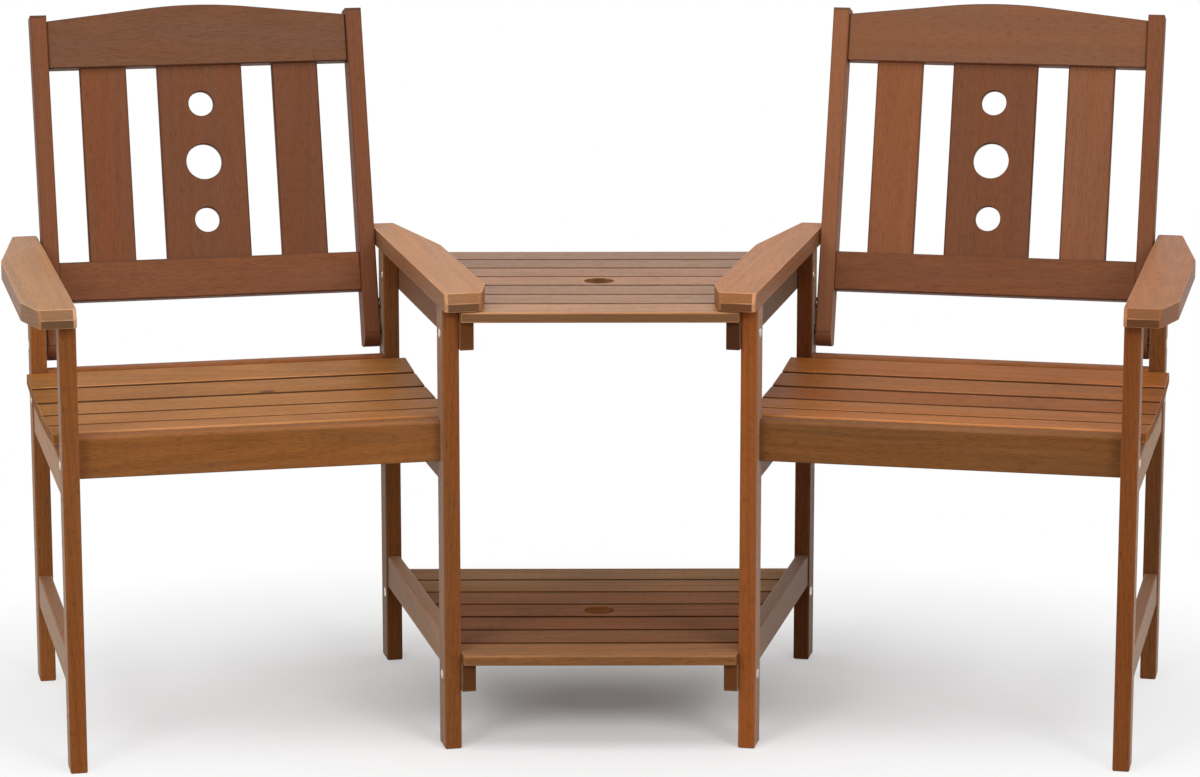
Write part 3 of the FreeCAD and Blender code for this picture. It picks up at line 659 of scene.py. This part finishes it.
def model_armrest(side, end):
    """An armrest: a block cut to its outline, sloped in front, with rounded corners and edges."""
    sizes = armrest()
    hand = HANDS[side]
    outwards, inner = -hand, hand * plan().leg_thickness
    if end == "inner":
        outwards, inner = hand, hand * (plan().chair_width - plan().leg_thickness)
    front = -sizes.front_overhang
    rear = plan().chair_depth + sizes.rear_overhang
    top = sizes.underside + sizes.thickness
    rest = block(
        (sizes.width, rear - front, sizes.thickness),
        (inner + outwards * sizes.width / 2, (front + rear) / 2, top - sizes.thickness / 2))
    cut_away((inner + outwards * sizes.front_width, front, 0),
             (outwards * sizes.front_taper, sizes.front_width - sizes.width, 0))
    cut_away((inner + outwards * sizes.rear_width, rear, 0),
             (outwards * sizes.rear_taper, sizes.width - sizes.rear_width, 0))
    cut_away((0, front, top - sizes.bevel_height), (0, -sizes.bevel_height, sizes.bevel_depth))
    end_edit()
    round_corners(rest, sizes.corner_radius)
    bevel(rest, sizes.edge_radius, segments=3, angle=20)
    move_mesh(rest, chair_matrix(side))
    smooth(rest)
    rest.name = f"{side}_armrest_{end}_wood"
    return rest


# Shared effects

def plug(tree, node, inputs):
    """Sets the inputs of a node to values, or links them to sockets."""
    for key, value in inputs.items():
        if isinstance(value, bpy.types.NodeSocket):
            tree.links.new(value, node.inputs[key])
        else:
            node.inputs[key].default_value = value


def add_node(tree, kind, inputs=None, **settings):
    """One node with its settings and inputs."""
    node = tree.nodes.new("ShaderNode" + kind)
    for key, value in settings.items():
        setattr(node, key, value)
    plug(tree, node, inputs or {})
    return node


def math_node(tree, operation, *values, kind="Math"):
    """The result of one sum on numbers or sockets."""
    return add_node(tree, kind, dict(enumerate(values)), operation=operation).outputs[0]


def vector_node(tree, operation, *values):
    """The result of one sum on vectors."""
    return math_node(tree, operation, *values, kind="VectorMath")


def product(tree, *values):
    """The product of two or more numbers or sockets."""
    return functools.reduce(functools.partial(math_node, tree, "MULTIPLY"), values)


def distance(tree, first, second):
    """How far a point lies from the origin, by its two coordinates."""
    squares = (product(tree, first, first), product(tree, second, second))
    return math_node(tree, "SQRT", math_node(tree, "ADD", *squares))


def add_shares(tree, value, given, shares):
    """A value with a share of each of some marks added."""
    for mark, share in shares.items():
        value = math_node(tree, "MULTIPLY_ADD", given[mark], share, value)
    return value


def new_group(name, inputs, outputs):
    """An empty node group, its sockets named by kind; gives its tree, inputs and output node."""
    tree = bpy.data.node_groups.new(name, "ShaderNodeTree")
    for in_out, kinds in (("INPUT", inputs), ("OUTPUT", outputs)):
        for kind, names in kinds.items():
            for socket in names:
                tree.interface.new_socket(
                    name=socket, in_out=in_out, socket_type="NodeSocket" + kind)
    return tree, tree.nodes.new("NodeGroupInput").outputs, tree.nodes.new("NodeGroupOutput")


def mix_colour(tree, factor, first, second, blend="MIX"):
    """Two colours mixed by a mask."""
    return add_node(tree, "Mix", {0: factor, 6: first, 7: second}, data_type="RGBA",
                    blend_type=blend).outputs[2]


def ramp(tree, value, low, high, bottom=0.0, top=1.0, shape="SMOOTHSTEP"):
    """A value spread between two limits."""
    return add_node(
        tree, "MapRange",
        {"Value": value, "From Min": low, "From Max": high, "To Min": bottom, "To Max": top},
        interpolation_type=shape).outputs[0]


def noise(tree, vector, scale, detail, roughness=0.5):
    return add_node(tree, "TexNoise", {
        "Vector": vector, "Scale": scale, "Detail": detail, "Roughness": roughness}).outputs["Fac"]


def stretched_noise(tree, vector, offset, stretch, detail, roughness):
    """Noise drawn out along the grain, different for each board."""
    scaled = vector_node(tree, "MULTIPLY_ADD", vector, stretch, offset)
    return noise(tree, scaled, 1.0, detail, roughness)


def even_noise(tree, scale, detail):
    """Noise that is fixed to the piece and the same in all directions."""
    place = add_node(tree, "TexCoord").outputs["Object"]
    return noise(tree, place, scale, detail)


def bend_round_knot(tree, given):
    """Board coordinates that part round a knot, and the mask of the knot itself."""
    away = vector_node(tree, "SUBTRACT", given["Vector"], given["Knot"])
    parts = add_node(tree, "SeparateXYZ", {0: away}).outputs
    size = math_node(tree, "MAXIMUM", given["Knot Size"], HAIR)
    along = math_node(tree, "DIVIDE", parts["X"], product(tree, size, KNOT_STRETCH))
    across = math_node(tree, "DIVIDE", parts["Y"], size)
    reach = distance(tree, along, across)
    pull = product(tree, ramp(tree, reach, *KNOT_REACH, 1.0, 0.0), size)
    pushed = product(tree, math_node(tree, "SIGN", across), pull, -KNOT_PUSH)
    shift = add_node(tree, "CombineXYZ", {"Y": pushed}).outputs[0]
    bent = vector_node(tree, "ADD", given["Vector"], shift)
    return bent, ramp(tree, reach, *KNOT_EDGE, 1.0, 0.0)


def figure_group():
    """Growth rings, streaks, fibres and pores of one board, with the grain along X."""
    tree, given, made = new_group(
        "Board figure",
        {"Vector": ("Vector", "Knot"),
         "Float": ("Seed", "Ring Spacing", "Pith Depth", "Pith Tilt", "Knot Size")},
        {"Float": (*FIGURE, "Height")})
    vector, knot = bend_round_knot(tree, given)
    offset = vector_node(tree, "MULTIPLY", given["Seed"], SEED_STEPS)
    marks = {name: stretched_noise(tree, vector, offset, *grain) for name, grain in GRAIN.items()}
    place = add_node(tree, "SeparateXYZ", {0: vector}).outputs
    sway = math_node(tree, "MULTIPLY_ADD", marks["Sway"], SWAY, -SWAY / 2)
    across = math_node(tree, "ADD", place["Y"], sway)
    depth = math_node(tree, "ADD", place["Z"], given["Pith Depth"])
    depth = math_node(tree, "ADD", depth, product(tree, place["X"], given["Pith Tilt"]))
    phase = math_node(tree, "DIVIDE", distance(tree, across, depth), given["Ring Spacing"])
    wave = math_node(tree, "SINE", product(tree, phase, 2 * math.pi))
    pores = ramp(tree, marks["Specks"], *PORE_FADE)
    height = math_node(tree, "MULTIPLY_ADD", marks["Fibres"], FIBRE_RELIEF, 1 - FIBRE_RELIEF)
    height = math_node(tree, "SUBTRACT", height, product(tree, pores, PORE_RELIEF))
    plug(tree, made, {
        "Rings": ramp(tree, wave, -1.0, 1.0), "Pores": pores, "Knot": knot, "Height": height,
        **{name: ramp(tree, marks[name], *fade) for name, fade in FADES.items()}})
    return tree


def oil_group():
    """Colour and roughness of the figure under satin oil, stained and worn in places, with painted
    highlights and painted shade on edges, narrow sides and gaps.
    """
    tree, given, made = new_group(
        "Oiled colour",
        {"Float": (*FIGURE, "End Grain", "Side", "Arris", "Gap", "Smoothest", "Wear",
                   "End Stain", "Side Stain", "Pore Stain"),
         "Color": ("Pale", "Dark", "Pore", "Worn")},
        {"Color": ("Colour",), "Float": ("Roughness",)})
    blend = add_shares(tree, 0.0, given, PALENESS)
    calm = math_node(tree, "MULTIPLY_ADD", given["End Grain"], -END_CALM, 1.0)
    blend = math_node(tree, "MULTIPLY_ADD", math_node(tree, "SUBTRACT", blend, 0.5), calm, 0.5)
    colour = mix_colour(tree, blend, given["Dark"], given["Pale"])
    # Pores and end grain take real stains; the Side Shade mask darkens the narrow sides with
    # painted shade.
    for mark, stain_and_shade in (("Pores", "Pore Stain"), ("End Grain", "End Stain"),
                        ("Side", "Side Stain")):
        mask = product(tree, given[mark], given[stain_and_shade])
        colour = mix_colour(tree, mask, colour, given["Pore"])
    tint = mix_colour(tree, given["Tint"], WARM_TINT, COOL_TINT)
    colour = mix_colour(tree, 1.0, colour, tint, "MULTIPLY")
    # Rounded edges: real wear, with a painted highlight where paler and a painted dark outline
    # where darker.
    uneven = math_node(tree, "MULTIPLY_ADD", given["Blotches"], RUB_AND_EDGE_LIGHT_PATCHES, 1 - RUB_AND_EDGE_LIGHT_PATCHES)
    mask = product(tree, given["Arris"], uneven, given["Wear"])
    colour = mix_colour(tree, mask, colour, given["Worn"])
    # Painted shade darkens the sides that look into narrow gaps between timbers.
    gap_shade = mix_colour(tree, 1.0, given["Pore"], GAP_SHADE_TINT, "MULTIPLY")
    colour = mix_colour(tree, product(tree, given["Gap"], GAP_SHADE_COVER), colour, gap_shade)
    colour = mix_colour(tree, product(tree, given["Knot"], KNOT_COVER), colour, given["Pore"])
    plug(tree, made, {
        "Colour": colour, "Roughness": add_shares(tree, given["Smoothest"], given, ROUGHENING)})
    return tree


def group_node(tree, build, name, inputs):
    """A shared effect placed in a material; it is built the first time it is used."""
    shared = bpy.data.node_groups.get(name) or build()
    return add_node(tree, "Group", inputs, node_tree=shared).outputs


# Materials

def new_material(name, settings):
    """A material with a Principled shader set to some constant values."""
    material = bpy.data.materials.new(name)
    material.use_nodes = True
    tree = material.node_tree
    shader = tree.nodes["Principled BSDF"]
    plug(tree, shader, settings)
    return material, tree, shader


def shaded(colour, factor):
    return (colour[0] * factor, colour[1] * factor, colour[2] * factor, 1.0)


def tinted(board, kind, chance):
    """The colour of one board: that of its kind, in the board's own tone and warmth, with painted
    light and shade for some boards.
    """
    look = timber_finish()
    red, green, blue = look.frame_colour if kind == "rail" else getattr(look, kind + "_colour")
    side, _, name = board.name.removesuffix("_wood").partition("_")
    tone, warmth = BOARD_TONES_AND_LIGHT[side].get(name, (1.0, 1.0))
    tone *= 1 + look.variation * chance.uniform(-1, 1)
    warmth *= 1 + WARMTH_SHARE * look.variation * chance.uniform(-1, 1)
    return red * tone * warmth, green * tone, blue * tone / warmth


def hardwood(board, grain, face, kind):
    """One board's own piece of oiled hardwood, with its grain and its rings turned its way."""
    look = timber_finish()
    made = PLAIN_FINISH | FINISHES[kind]
    chance = random.Random(board.name)
    colour = tinted(board, kind, chance)
    material, tree, shader = new_material("hardwood_" + board.name, {
        "IOR": made["index"], "Sheen Weight": made["sheen"], **SHEEN})
    along = Vector(grain).normalized()
    outwards = Vector(face).normalized()
    turn = Matrix((along, outwards.cross(along), outwards))
    angles = turn.to_euler("XYZ")
    shift = turn @ -centre_of(board) + Vector((0, chance.uniform(-0.03, 0.03), 0))
    knot, knot_size = KNOTS.get(board.name, ((0, 0, 0), 0))
    place = add_node(tree, "TexCoord").outputs
    mapping = add_node(tree, "Mapping", {
        "Vector": place["Object"], "Location": shift, "Rotation": angles})
    figure = group_node(tree, figure_group, "Board figure", {
        "Vector": mapping.outputs["Vector"], "Seed": chance.uniform(0, 10),
        "Ring Spacing": look.ring_spacing * chance.uniform(0.8, 1.3),
        "Pith Depth": PITH_DEPTH * chance.uniform(0.8, 1.6),
        "Pith Tilt": chance.uniform(-0.06, 0.06),
        "Knot": turn @ Vector(knot) + shift, "Knot Size": knot_size})
    turned = add_node(
        tree, "Mapping", {"Vector": place["Normal"], "Rotation": angles},
        vector_type="NORMAL")
    facing = add_node(tree, "SeparateXYZ", {0: turned.outputs["Vector"]}).outputs
    inputs = {name: figure[name] for name in FIGURE}
    # The rubbed edges' colour: over real wear, paler with a painted highlight on most kinds,
    # darker with a painted outline on the backs.
    rubbed_edge_light_and_shade = [RUBBED_AND_LIT_EDGE_HUE * part + (1 - RUBBED_AND_LIT_EDGE_HUE) * colour[1] for part in colour]
    for socket, axis in (("End Grain", "X"), ("Side", "Y")):
        inputs[socket] = ramp(tree, math_node(tree, "ABSOLUTE", facing[axis]), *FACING_FADE)
    # The gap attribute carries the painted shade of narrow gaps; the arris attribute marks the
    # rounded edges.
    for name in ("Arris", "Gap"):
        inputs[name] = add_node(tree, "Attribute", attribute_type="GEOMETRY",
                                attribute_name=name.lower()).outputs["Fac"]
    oiled = group_node(tree, oil_group, "Oiled colour", inputs | {
        "Smoothest": made["smoothest"], "Wear": made["wear"], "End Stain": made["end"],
        "Side Stain": made["sides"], "Pore Stain": made["pores"],
        "Pale": shaded(colour, 1 + PALE_STEP * made["figure"]),
        "Dark": shaded(colour, 1 - DARK_STEP * made["figure"]),
        "Pore": shaded(colour, STAIN_SHARE),
        "Worn": shaded(rubbed_edge_light_and_shade, made["edge"])})
    bump = add_node(tree, "Bump", {
        "Height": figure["Height"], "Distance": look.bump, "Strength": 0.6})
    plug(tree, shader, {
        "Base Color": oiled["Colour"], "Roughness": oiled["Roughness"],
        "Normal": bump.outputs["Normal"]})
    return material


def plated_steel():
    """Zinc plated steel, a little duller in random clouds."""
    colour = fasteners().metal_colour
    material, tree, shader = new_material("plated_steel", {"Metallic": 1.0, "IOR": 2.5})
    cloud = ramp(tree, even_noise(tree, scale=420.0, detail=3.0), *STEEL_FADE)
    shades = [shaded(colour, factor) for factor in STEEL_SHADES]
    plug(tree, shader, {
        "Base Color": mix_colour(tree, cloud, *shades),
        "Roughness": math_node(tree, "MULTIPLY_ADD", cloud, -0.14, 0.42)})
    return material


def black_nylon():
    """Matt nylon of the spacers."""
    material, tree, shader = new_material("black_nylon", {"IOR": 1.5})
    cloud = even_noise(tree, scale=900.0, detail=2.0)
    plug(tree, shader, {
        "Base Color": mix_colour(tree, cloud, NYLON_BLACK, NYLON_GREY),
        "Roughness": math_node(tree, "MULTIPLY_ADD", cloud, 0.2, 0.45)})
    return material


# Fasteners

def model_bolt(length):
    """A bolt along Z, its seat at the origin: shank up, domed head with its socket down."""
    sizes = fasteners()
    level = sizes.head_height * HEAD_RIM
    bolt = cylinder(40, sizes.head_radius, level, -level / 2)
    start_edit(bolt)
    for share, narrowing in HEAD_STEPS:
        rise = sizes.head_height * share
        select_faces(bolt, lambda centre, normal: normal.z < -LEVEL and centre.z < HAIR - level)
        bpy.ops.mesh.extrude_region_move(TRANSFORM_OT_translate={"value": (0, 0, -rise)})
        bpy.ops.transform.resize(value=(narrowing, narrowing, 1))
        level += rise
    end_edit()
    subtract(bolt, cylinder(
        6, sizes.socket_radius, sizes.head_height * SOCKET_DEPTH * 2, -sizes.head_height))
    start_edit(bolt)
    select_faces(bolt, lambda centre, normal: normal.z > LEVEL and centre.z > -HAIR)
    bpy.ops.mesh.inset(thickness=sizes.head_radius - sizes.shank_radius)
    for rise in (length, sizes.shank_radius * SHANK_TIP):
        bpy.ops.mesh.extrude_region_move(TRANSFORM_OT_translate={"value": (0, 0, rise)})
    bpy.ops.transform.resize(value=(TIP_NARROWING, TIP_NARROWING, 1))
    end_edit()
    bevel(bolt, BOLT_EDGE)
    return bolt


def model_spacer():
    """A spacer along Z with its seat at the origin."""
    sizes = fasteners()
    ring = cylinder(40, sizes.spacer_radius, sizes.spacer_thickness, sizes.spacer_thickness / 2)
    subtract(ring, cylinder(32, sizes.spacer_hole, sizes.spacer_thickness * 4))
    bevel(ring, SPACER_EDGE)
    return ring


def model_barrel():
    """A barrel nut along Z, with its slotted end at the origin."""
    sizes = fasteners()
    barrel = cylinder(36, sizes.barrel_radius, sizes.barrel_length, -sizes.barrel_length / 2)
    bpy.ops.mesh.primitive_cube_add(size=1)
    bpy.ops.transform.resize(value=(sizes.barrel_radius * 2.4, SLOT_WIDTH, SLOT_DEPTH * 2))
    subtract(barrel, bpy.context.active_object)
    bevel(barrel, BARREL_EDGE)
    return barrel


def place_copies(model, places):
    """Copies of a fastener, each with its own mesh, at places given as a point and a direction."""
    copies = []
    for point, direction in places:
        pick(model)
        bpy.ops.object.duplicate()
        copy = bpy.context.active_object
        turn = Vector(direction).to_track_quat("Z", "Y").to_matrix().to_4x4()
        move_mesh(copy, Matrix.Translation(point) @ turn)
        copies.append(copy)
    discard(model)
    return copies


def hardware(name, node, pieces, material):
    """Joins the fasteners of one node into one piece and puts it in the node's place."""
    pick(*pieces)
    bpy.ops.object.join()
    piece = bpy.context.active_object
    piece.name = name
    bpy.ops.object.shade_smooth_by_angle(angle=math.radians(35))
    piece.data.materials.clear()
    piece.data.materials.append(material)
    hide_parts(node)
    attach(piece, "root")


def both_ends(side, seats):
    """Places on the outer side of a chair and their mirror images on its table side."""
    width = plan().chair_width
    places = []
    for u, v, z in seats:
        places.append((chair_point(side, u, v, z), chair_direction(side, (1, 0, 0))))
        places.append((chair_point(side, width - u, v, z), chair_direction(side, (-1, 0, 0))))
    return places


# Operators

class BENCH_OT_backs(bpy.types.Operator):
    """Finishes the stiles, rails and slats of both backs"""
    bl_idname = "companion_bench.backs"
    bl_label = "Backs"

    def execute(self, context):
        for side in HANDS:
            upright = chair_direction(side, leaned((0, 0, 1)))
            forward = chair_direction(side, leaned((0, -1, 0)))
            across = chair_direction(side, (1, 0, 0))
            for name in ("back_slat_outer", "back_slat_inner", "back_splat"):
                timber(f"{side}_{name}", upright, forward, "back")
            for name in ("back_stile_outer", "back_stile_inner"):
                timber(f"{side}_{name}", upright, across, "back")
            timber(f"{side}_back_lower_rail", across, forward, "back")
            finish_board(model_crest(side), f"{side}_crest_rail", across, forward, "back")
        return {"FINISHED"}


class BENCH_OT_side_frames(bpy.types.Operator):
    """Finishes the legs, side rails, stretchers, aprons and seat bearers"""
    bl_idname = "companion_bench.side_frames"
    bl_label = "Side frames"

    def execute(self, context):
        for side in HANDS:
            across = chair_direction(side, (1, 0, 0))
            forward = chair_direction(side, (0, -1, 0))
            for end in ("outer", "inner"):
                for name in ("front_leg", "rear_leg"):
                    timber(f"{side}_{name}_{end}", (0, 0, 1), across, "frame")
                for name in ("seat_side_rail", "stretcher"):
                    timber(f"{side}_{name}_{end}", forward, across, "frame")
            timber(side + "_seat_apron", across, forward, "rail")
            timber(side + "_seat_rear_rail", across, forward, "rail", rise=plan().rear_rail_rise)
            for name in ("tabletop_bearer", "shelf_bearer"):
                timber(f"{side}_{name}", forward, across, "frame")
            timber(side + "_seat_bearers", forward, across, "frame", plan().apron_underside)
        return {"FINISHED"}


class BENCH_OT_armrests(bpy.types.Operator):
    """Models the four armrests"""
    bl_idname = "companion_bench.armrests"
    bl_label = "Armrests"

    def execute(self, context):
        for side in HANDS:
            forward = chair_direction(side, (0, -1, 0))
            for end in ("outer", "inner"):
                rest = model_armrest(side, end)
                finish_board(rest, f"{side}_armrest_{end}", forward, (0, 0, 1), "arm")
        return {"FINISHED"}


class BENCH_OT_seats(bpy.types.Operator):
    """Finishes the slats of both seats"""
    bl_idname = "companion_bench.seats"
    bl_label = "Seats"

    def execute(self, context):
        for side in HANDS:
            timber(f"{side}_seat_slats", chair_direction(side, (1, 0, 0)), (0, 0, 1), "seat")
        return {"FINISHED"}


class BENCH_OT_tables(bpy.types.Operator):
    """Finishes the slats of the tabletop and the shelf"""
    bl_idname = "companion_bench.tables"
    bl_label = "Table and shelf"

    def execute(self, context):
        for name, kind in (("tabletop", "table"), ("shelf", "shelf")):
            for part in ("slats", "hole_slat"):
                timber(f"{name}_{part}", (1, 0, 0), (0, 0, 1), kind)
        return {"FINISHED"}


class BENCH_OT_bolts(bpy.types.Operator):
    """Models the bolts, barrel nuts and spacers"""
    bl_idname = "companion_bench.bolts"
    bl_label = "Bolts"

    def execute(self, context):
        steel = plated_steel()
        nylon = black_nylon()
        sizes = fasteners()
        width = plan().chair_width
        leg = plan().leg_thickness
        frame_seats = [(0, v * MM, sizes.frame_bolt_height) for v in FRAME_BOLTS]
        back_seats = [(0, v * MM, z * MM) for v, z in BACK_BOLTS]
        spacer_seats = [(leg, v, z) for u, v, z in back_seats]
        for side in HANDS:
            across = chair_direction(side, (1, 0, 0))
            backwards = chair_direction(side, (0, 1, 0))
            bolts = place_copies(model_bolt(sizes.frame_bolt), both_ends(side, frame_seats))
            barrels = [
                (chair_point(side, place, v + sizes.barrel_length / 2, z), backwards)
                for u, v, z in frame_seats
                for place in (leg + sizes.barrel_setback, width - leg - sizes.barrel_setback)]
            bolts += place_copies(model_barrel(), barrels)
            hardware(side + "_frame_bolt_set", side + "_frame_bolts", bolts, steel)
            bolts = place_copies(model_bolt(sizes.back_bolt), both_ends(side, back_seats))
            hardware(side + "_back_bolt_set", side + "_back_bolts", bolts, steel)
            rings = place_copies(model_spacer(), both_ends(side, spacer_seats))
            hardware(side + "_spacer_set", side + "_back_spacers", rings, nylon)
            seats = [(chair_point(side, width - leg, v * MM, z * MM), across)
                     for v, z in TABLE_BOLTS]
            bolts = place_copies(model_bolt(sizes.table_bolt), seats)
            hardware(side + "_table_bolt_set", side + "_table_bolts", bolts, steel)
        return {"FINISHED"}


# Stage

def seen_directly(tree):
    """1 for rays from the camera, mirrors and glass, 0 for the light that falls on the bench."""
    path = add_node(tree, "LightPath").outputs
    seen = math_node(tree, "MAXIMUM", path["Is Camera Ray"], path["Is Glossy Ray"])
    return math_node(tree, "MAXIMUM", seen, path["Is Transmission Ray"])


def pale_floor(stage):
    """A pale floor that keeps the bench's shadow, lifted by a faint painted glow, and fades to the
    white of the backdrop.
    """
    material, tree, shader = new_material(
        "pale_floor", {"Roughness": 0.9, "Specular IOR Level": 0.0})
    place = add_node(tree, "TexCoord").outputs["Object"]
    oval = vector_node(tree, "MULTIPLY", place, FLOOR_OVAL)
    reach = add_node(tree, "VectorMath", {0: oval}, operation="LENGTH").outputs["Value"]
    # Share of white glow: a tenth near the bench, painted light that lifts its shadow, rising to
    # the full white backdrop far away.
    glow_share = ramp(tree, reach, *FLOOR_FADE, "LINEAR")
    seen = seen_directly(tree)
    shades = [shaded(stage.floor_colour, factor) for factor in FLOOR_SHADES]
    plain = mix_colour(tree, even_noise(tree, scale=60.0, detail=3.0), *shades)
    colour = mix_colour(tree, seen, shaded(stage.bounce_colour, 1.0), plain)
    plug(tree, shader, {"Base Color": colour})
    glow = add_node(tree, "Emission", {"Color": (1, 1, 1, 1), "Strength": 1.0})
    mix = add_node(tree, "MixShader", {
        0: product(tree, glow_share, seen), 1: shader.outputs["BSDF"], 2: glow.outputs["Emission"]})
    plug(tree, tree.nodes["Material Output"], {"Surface": mix.outputs[0]})
    return material


def set_world(level):
    """Even light from all round, seen as plain white."""
    world = bpy.data.worlds.new("studio")
    bpy.context.scene.world = world
    world.use_nodes = True
    tree = world.node_tree
    strength = math_node(tree, "MULTIPLY_ADD", seen_directly(tree), 1 - level, level)
    plug(tree, tree.nodes["Background"], {"Color": (1, 1, 1, 1), "Strength": strength})


class BENCH_OT_stage(bpy.types.Operator):
    """Sets the floor, the soft lights and the camera"""
    bl_idname = "companion_bench.stage"
    bl_label = "Stage"

    def execute(self, context):
        stage = context.scene.stage_settings
        deselect()
        bpy.ops.mesh.primitive_circle_add(
            vertices=FLOOR_SIDES, radius=stage.floor_radius, fill_type="NGON")
        floor = context.active_object
        floor.name = "floor"
        floor.data.materials.append(pale_floor(stage))
        for name, (place, size, power) in LIGHTS.items():
            deselect()
            bpy.ops.object.light_add(type="AREA", location=place)
            light = context.active_object
            light.name = name
            light.data.shape = "DISK"
            light.data.size = size
            light.data.energy = getattr(stage, power)
            aim = Vector(LIT_POINT) - Vector(place)
            light.rotation_euler = aim.to_track_quat("-Z", "Y").to_euler()
        set_world(stage.sky_level)
        deselect()
        bpy.ops.object.camera_add(
            location=stage.camera_place,
            rotation=(math.radians(90) - stage.camera_pitch, 0, -stage.camera_turn))
        camera = context.active_object
        camera.name = "photo_camera"
        camera.data.lens = stage.focal_length
        camera.data.sensor_width = SENSOR_WIDTH
        context.scene.camera = camera
        context.scene.view_settings.view_transform = "Standard"
        return {"FINISHED"}


class BENCH_PT_builder(bpy.types.Panel):
    """Lists the sizes, the finishes and the steps that build the bench"""
    bl_idname = "BENCH_PT_builder"
    bl_label = "Companion seat bench"
    bl_space_type = "VIEW_3D"
    bl_region_type = "UI"
    bl_category = "Bench"

    def draw(self, context):
        for group in GROUPS:
            settings = getattr(context.scene, group)
            box = self.layout.box()
            for name in type(settings).__annotations__:
                box.prop(settings, name)
        for operator in OPERATORS:
            self.layout.operator(operator.bl_idname)


GROUPS = {
    "bench_plan": BenchPlan,
    "crest_sizes": CrestSizes,
    "armrest_sizes": ArmrestSizes,
    "timber_finish": TimberFinish,
    "fastener_sizes": FastenerSizes,
    "stage_settings": StageSettings,
}
OPERATORS = (
    BENCH_OT_backs,
    BENCH_OT_side_frames,
    BENCH_OT_armrests,
    BENCH_OT_seats,
    BENCH_OT_tables,
    BENCH_OT_bolts,
    BENCH_OT_stage,
)


def register():
    for kind in (*GROUPS.values(), *OPERATORS, BENCH_PT_builder):
        bpy.utils.register_class(kind)
    for name, kind in GROUPS.items():
        setattr(bpy.types.Scene, name, PointerProperty(type=kind))


def unregister():
    for name in GROUPS:
        delattr(bpy.types.Scene, name)
    for kind in reversed((*GROUPS.values(), *OPERATORS, BENCH_PT_builder)):
        bpy.utils.unregister_class(kind)


def main():
    register()
    bpy.ops.companion_bench.backs()
    bpy.ops.companion_bench.side_frames()
    bpy.ops.companion_bench.armrests()
    bpy.ops.companion_bench.seats()
    bpy.ops.companion_bench.tables()
    bpy.ops.companion_bench.bolts()
    bpy.ops.companion_bench.stage()


if __name__ == "__main__":
    main()
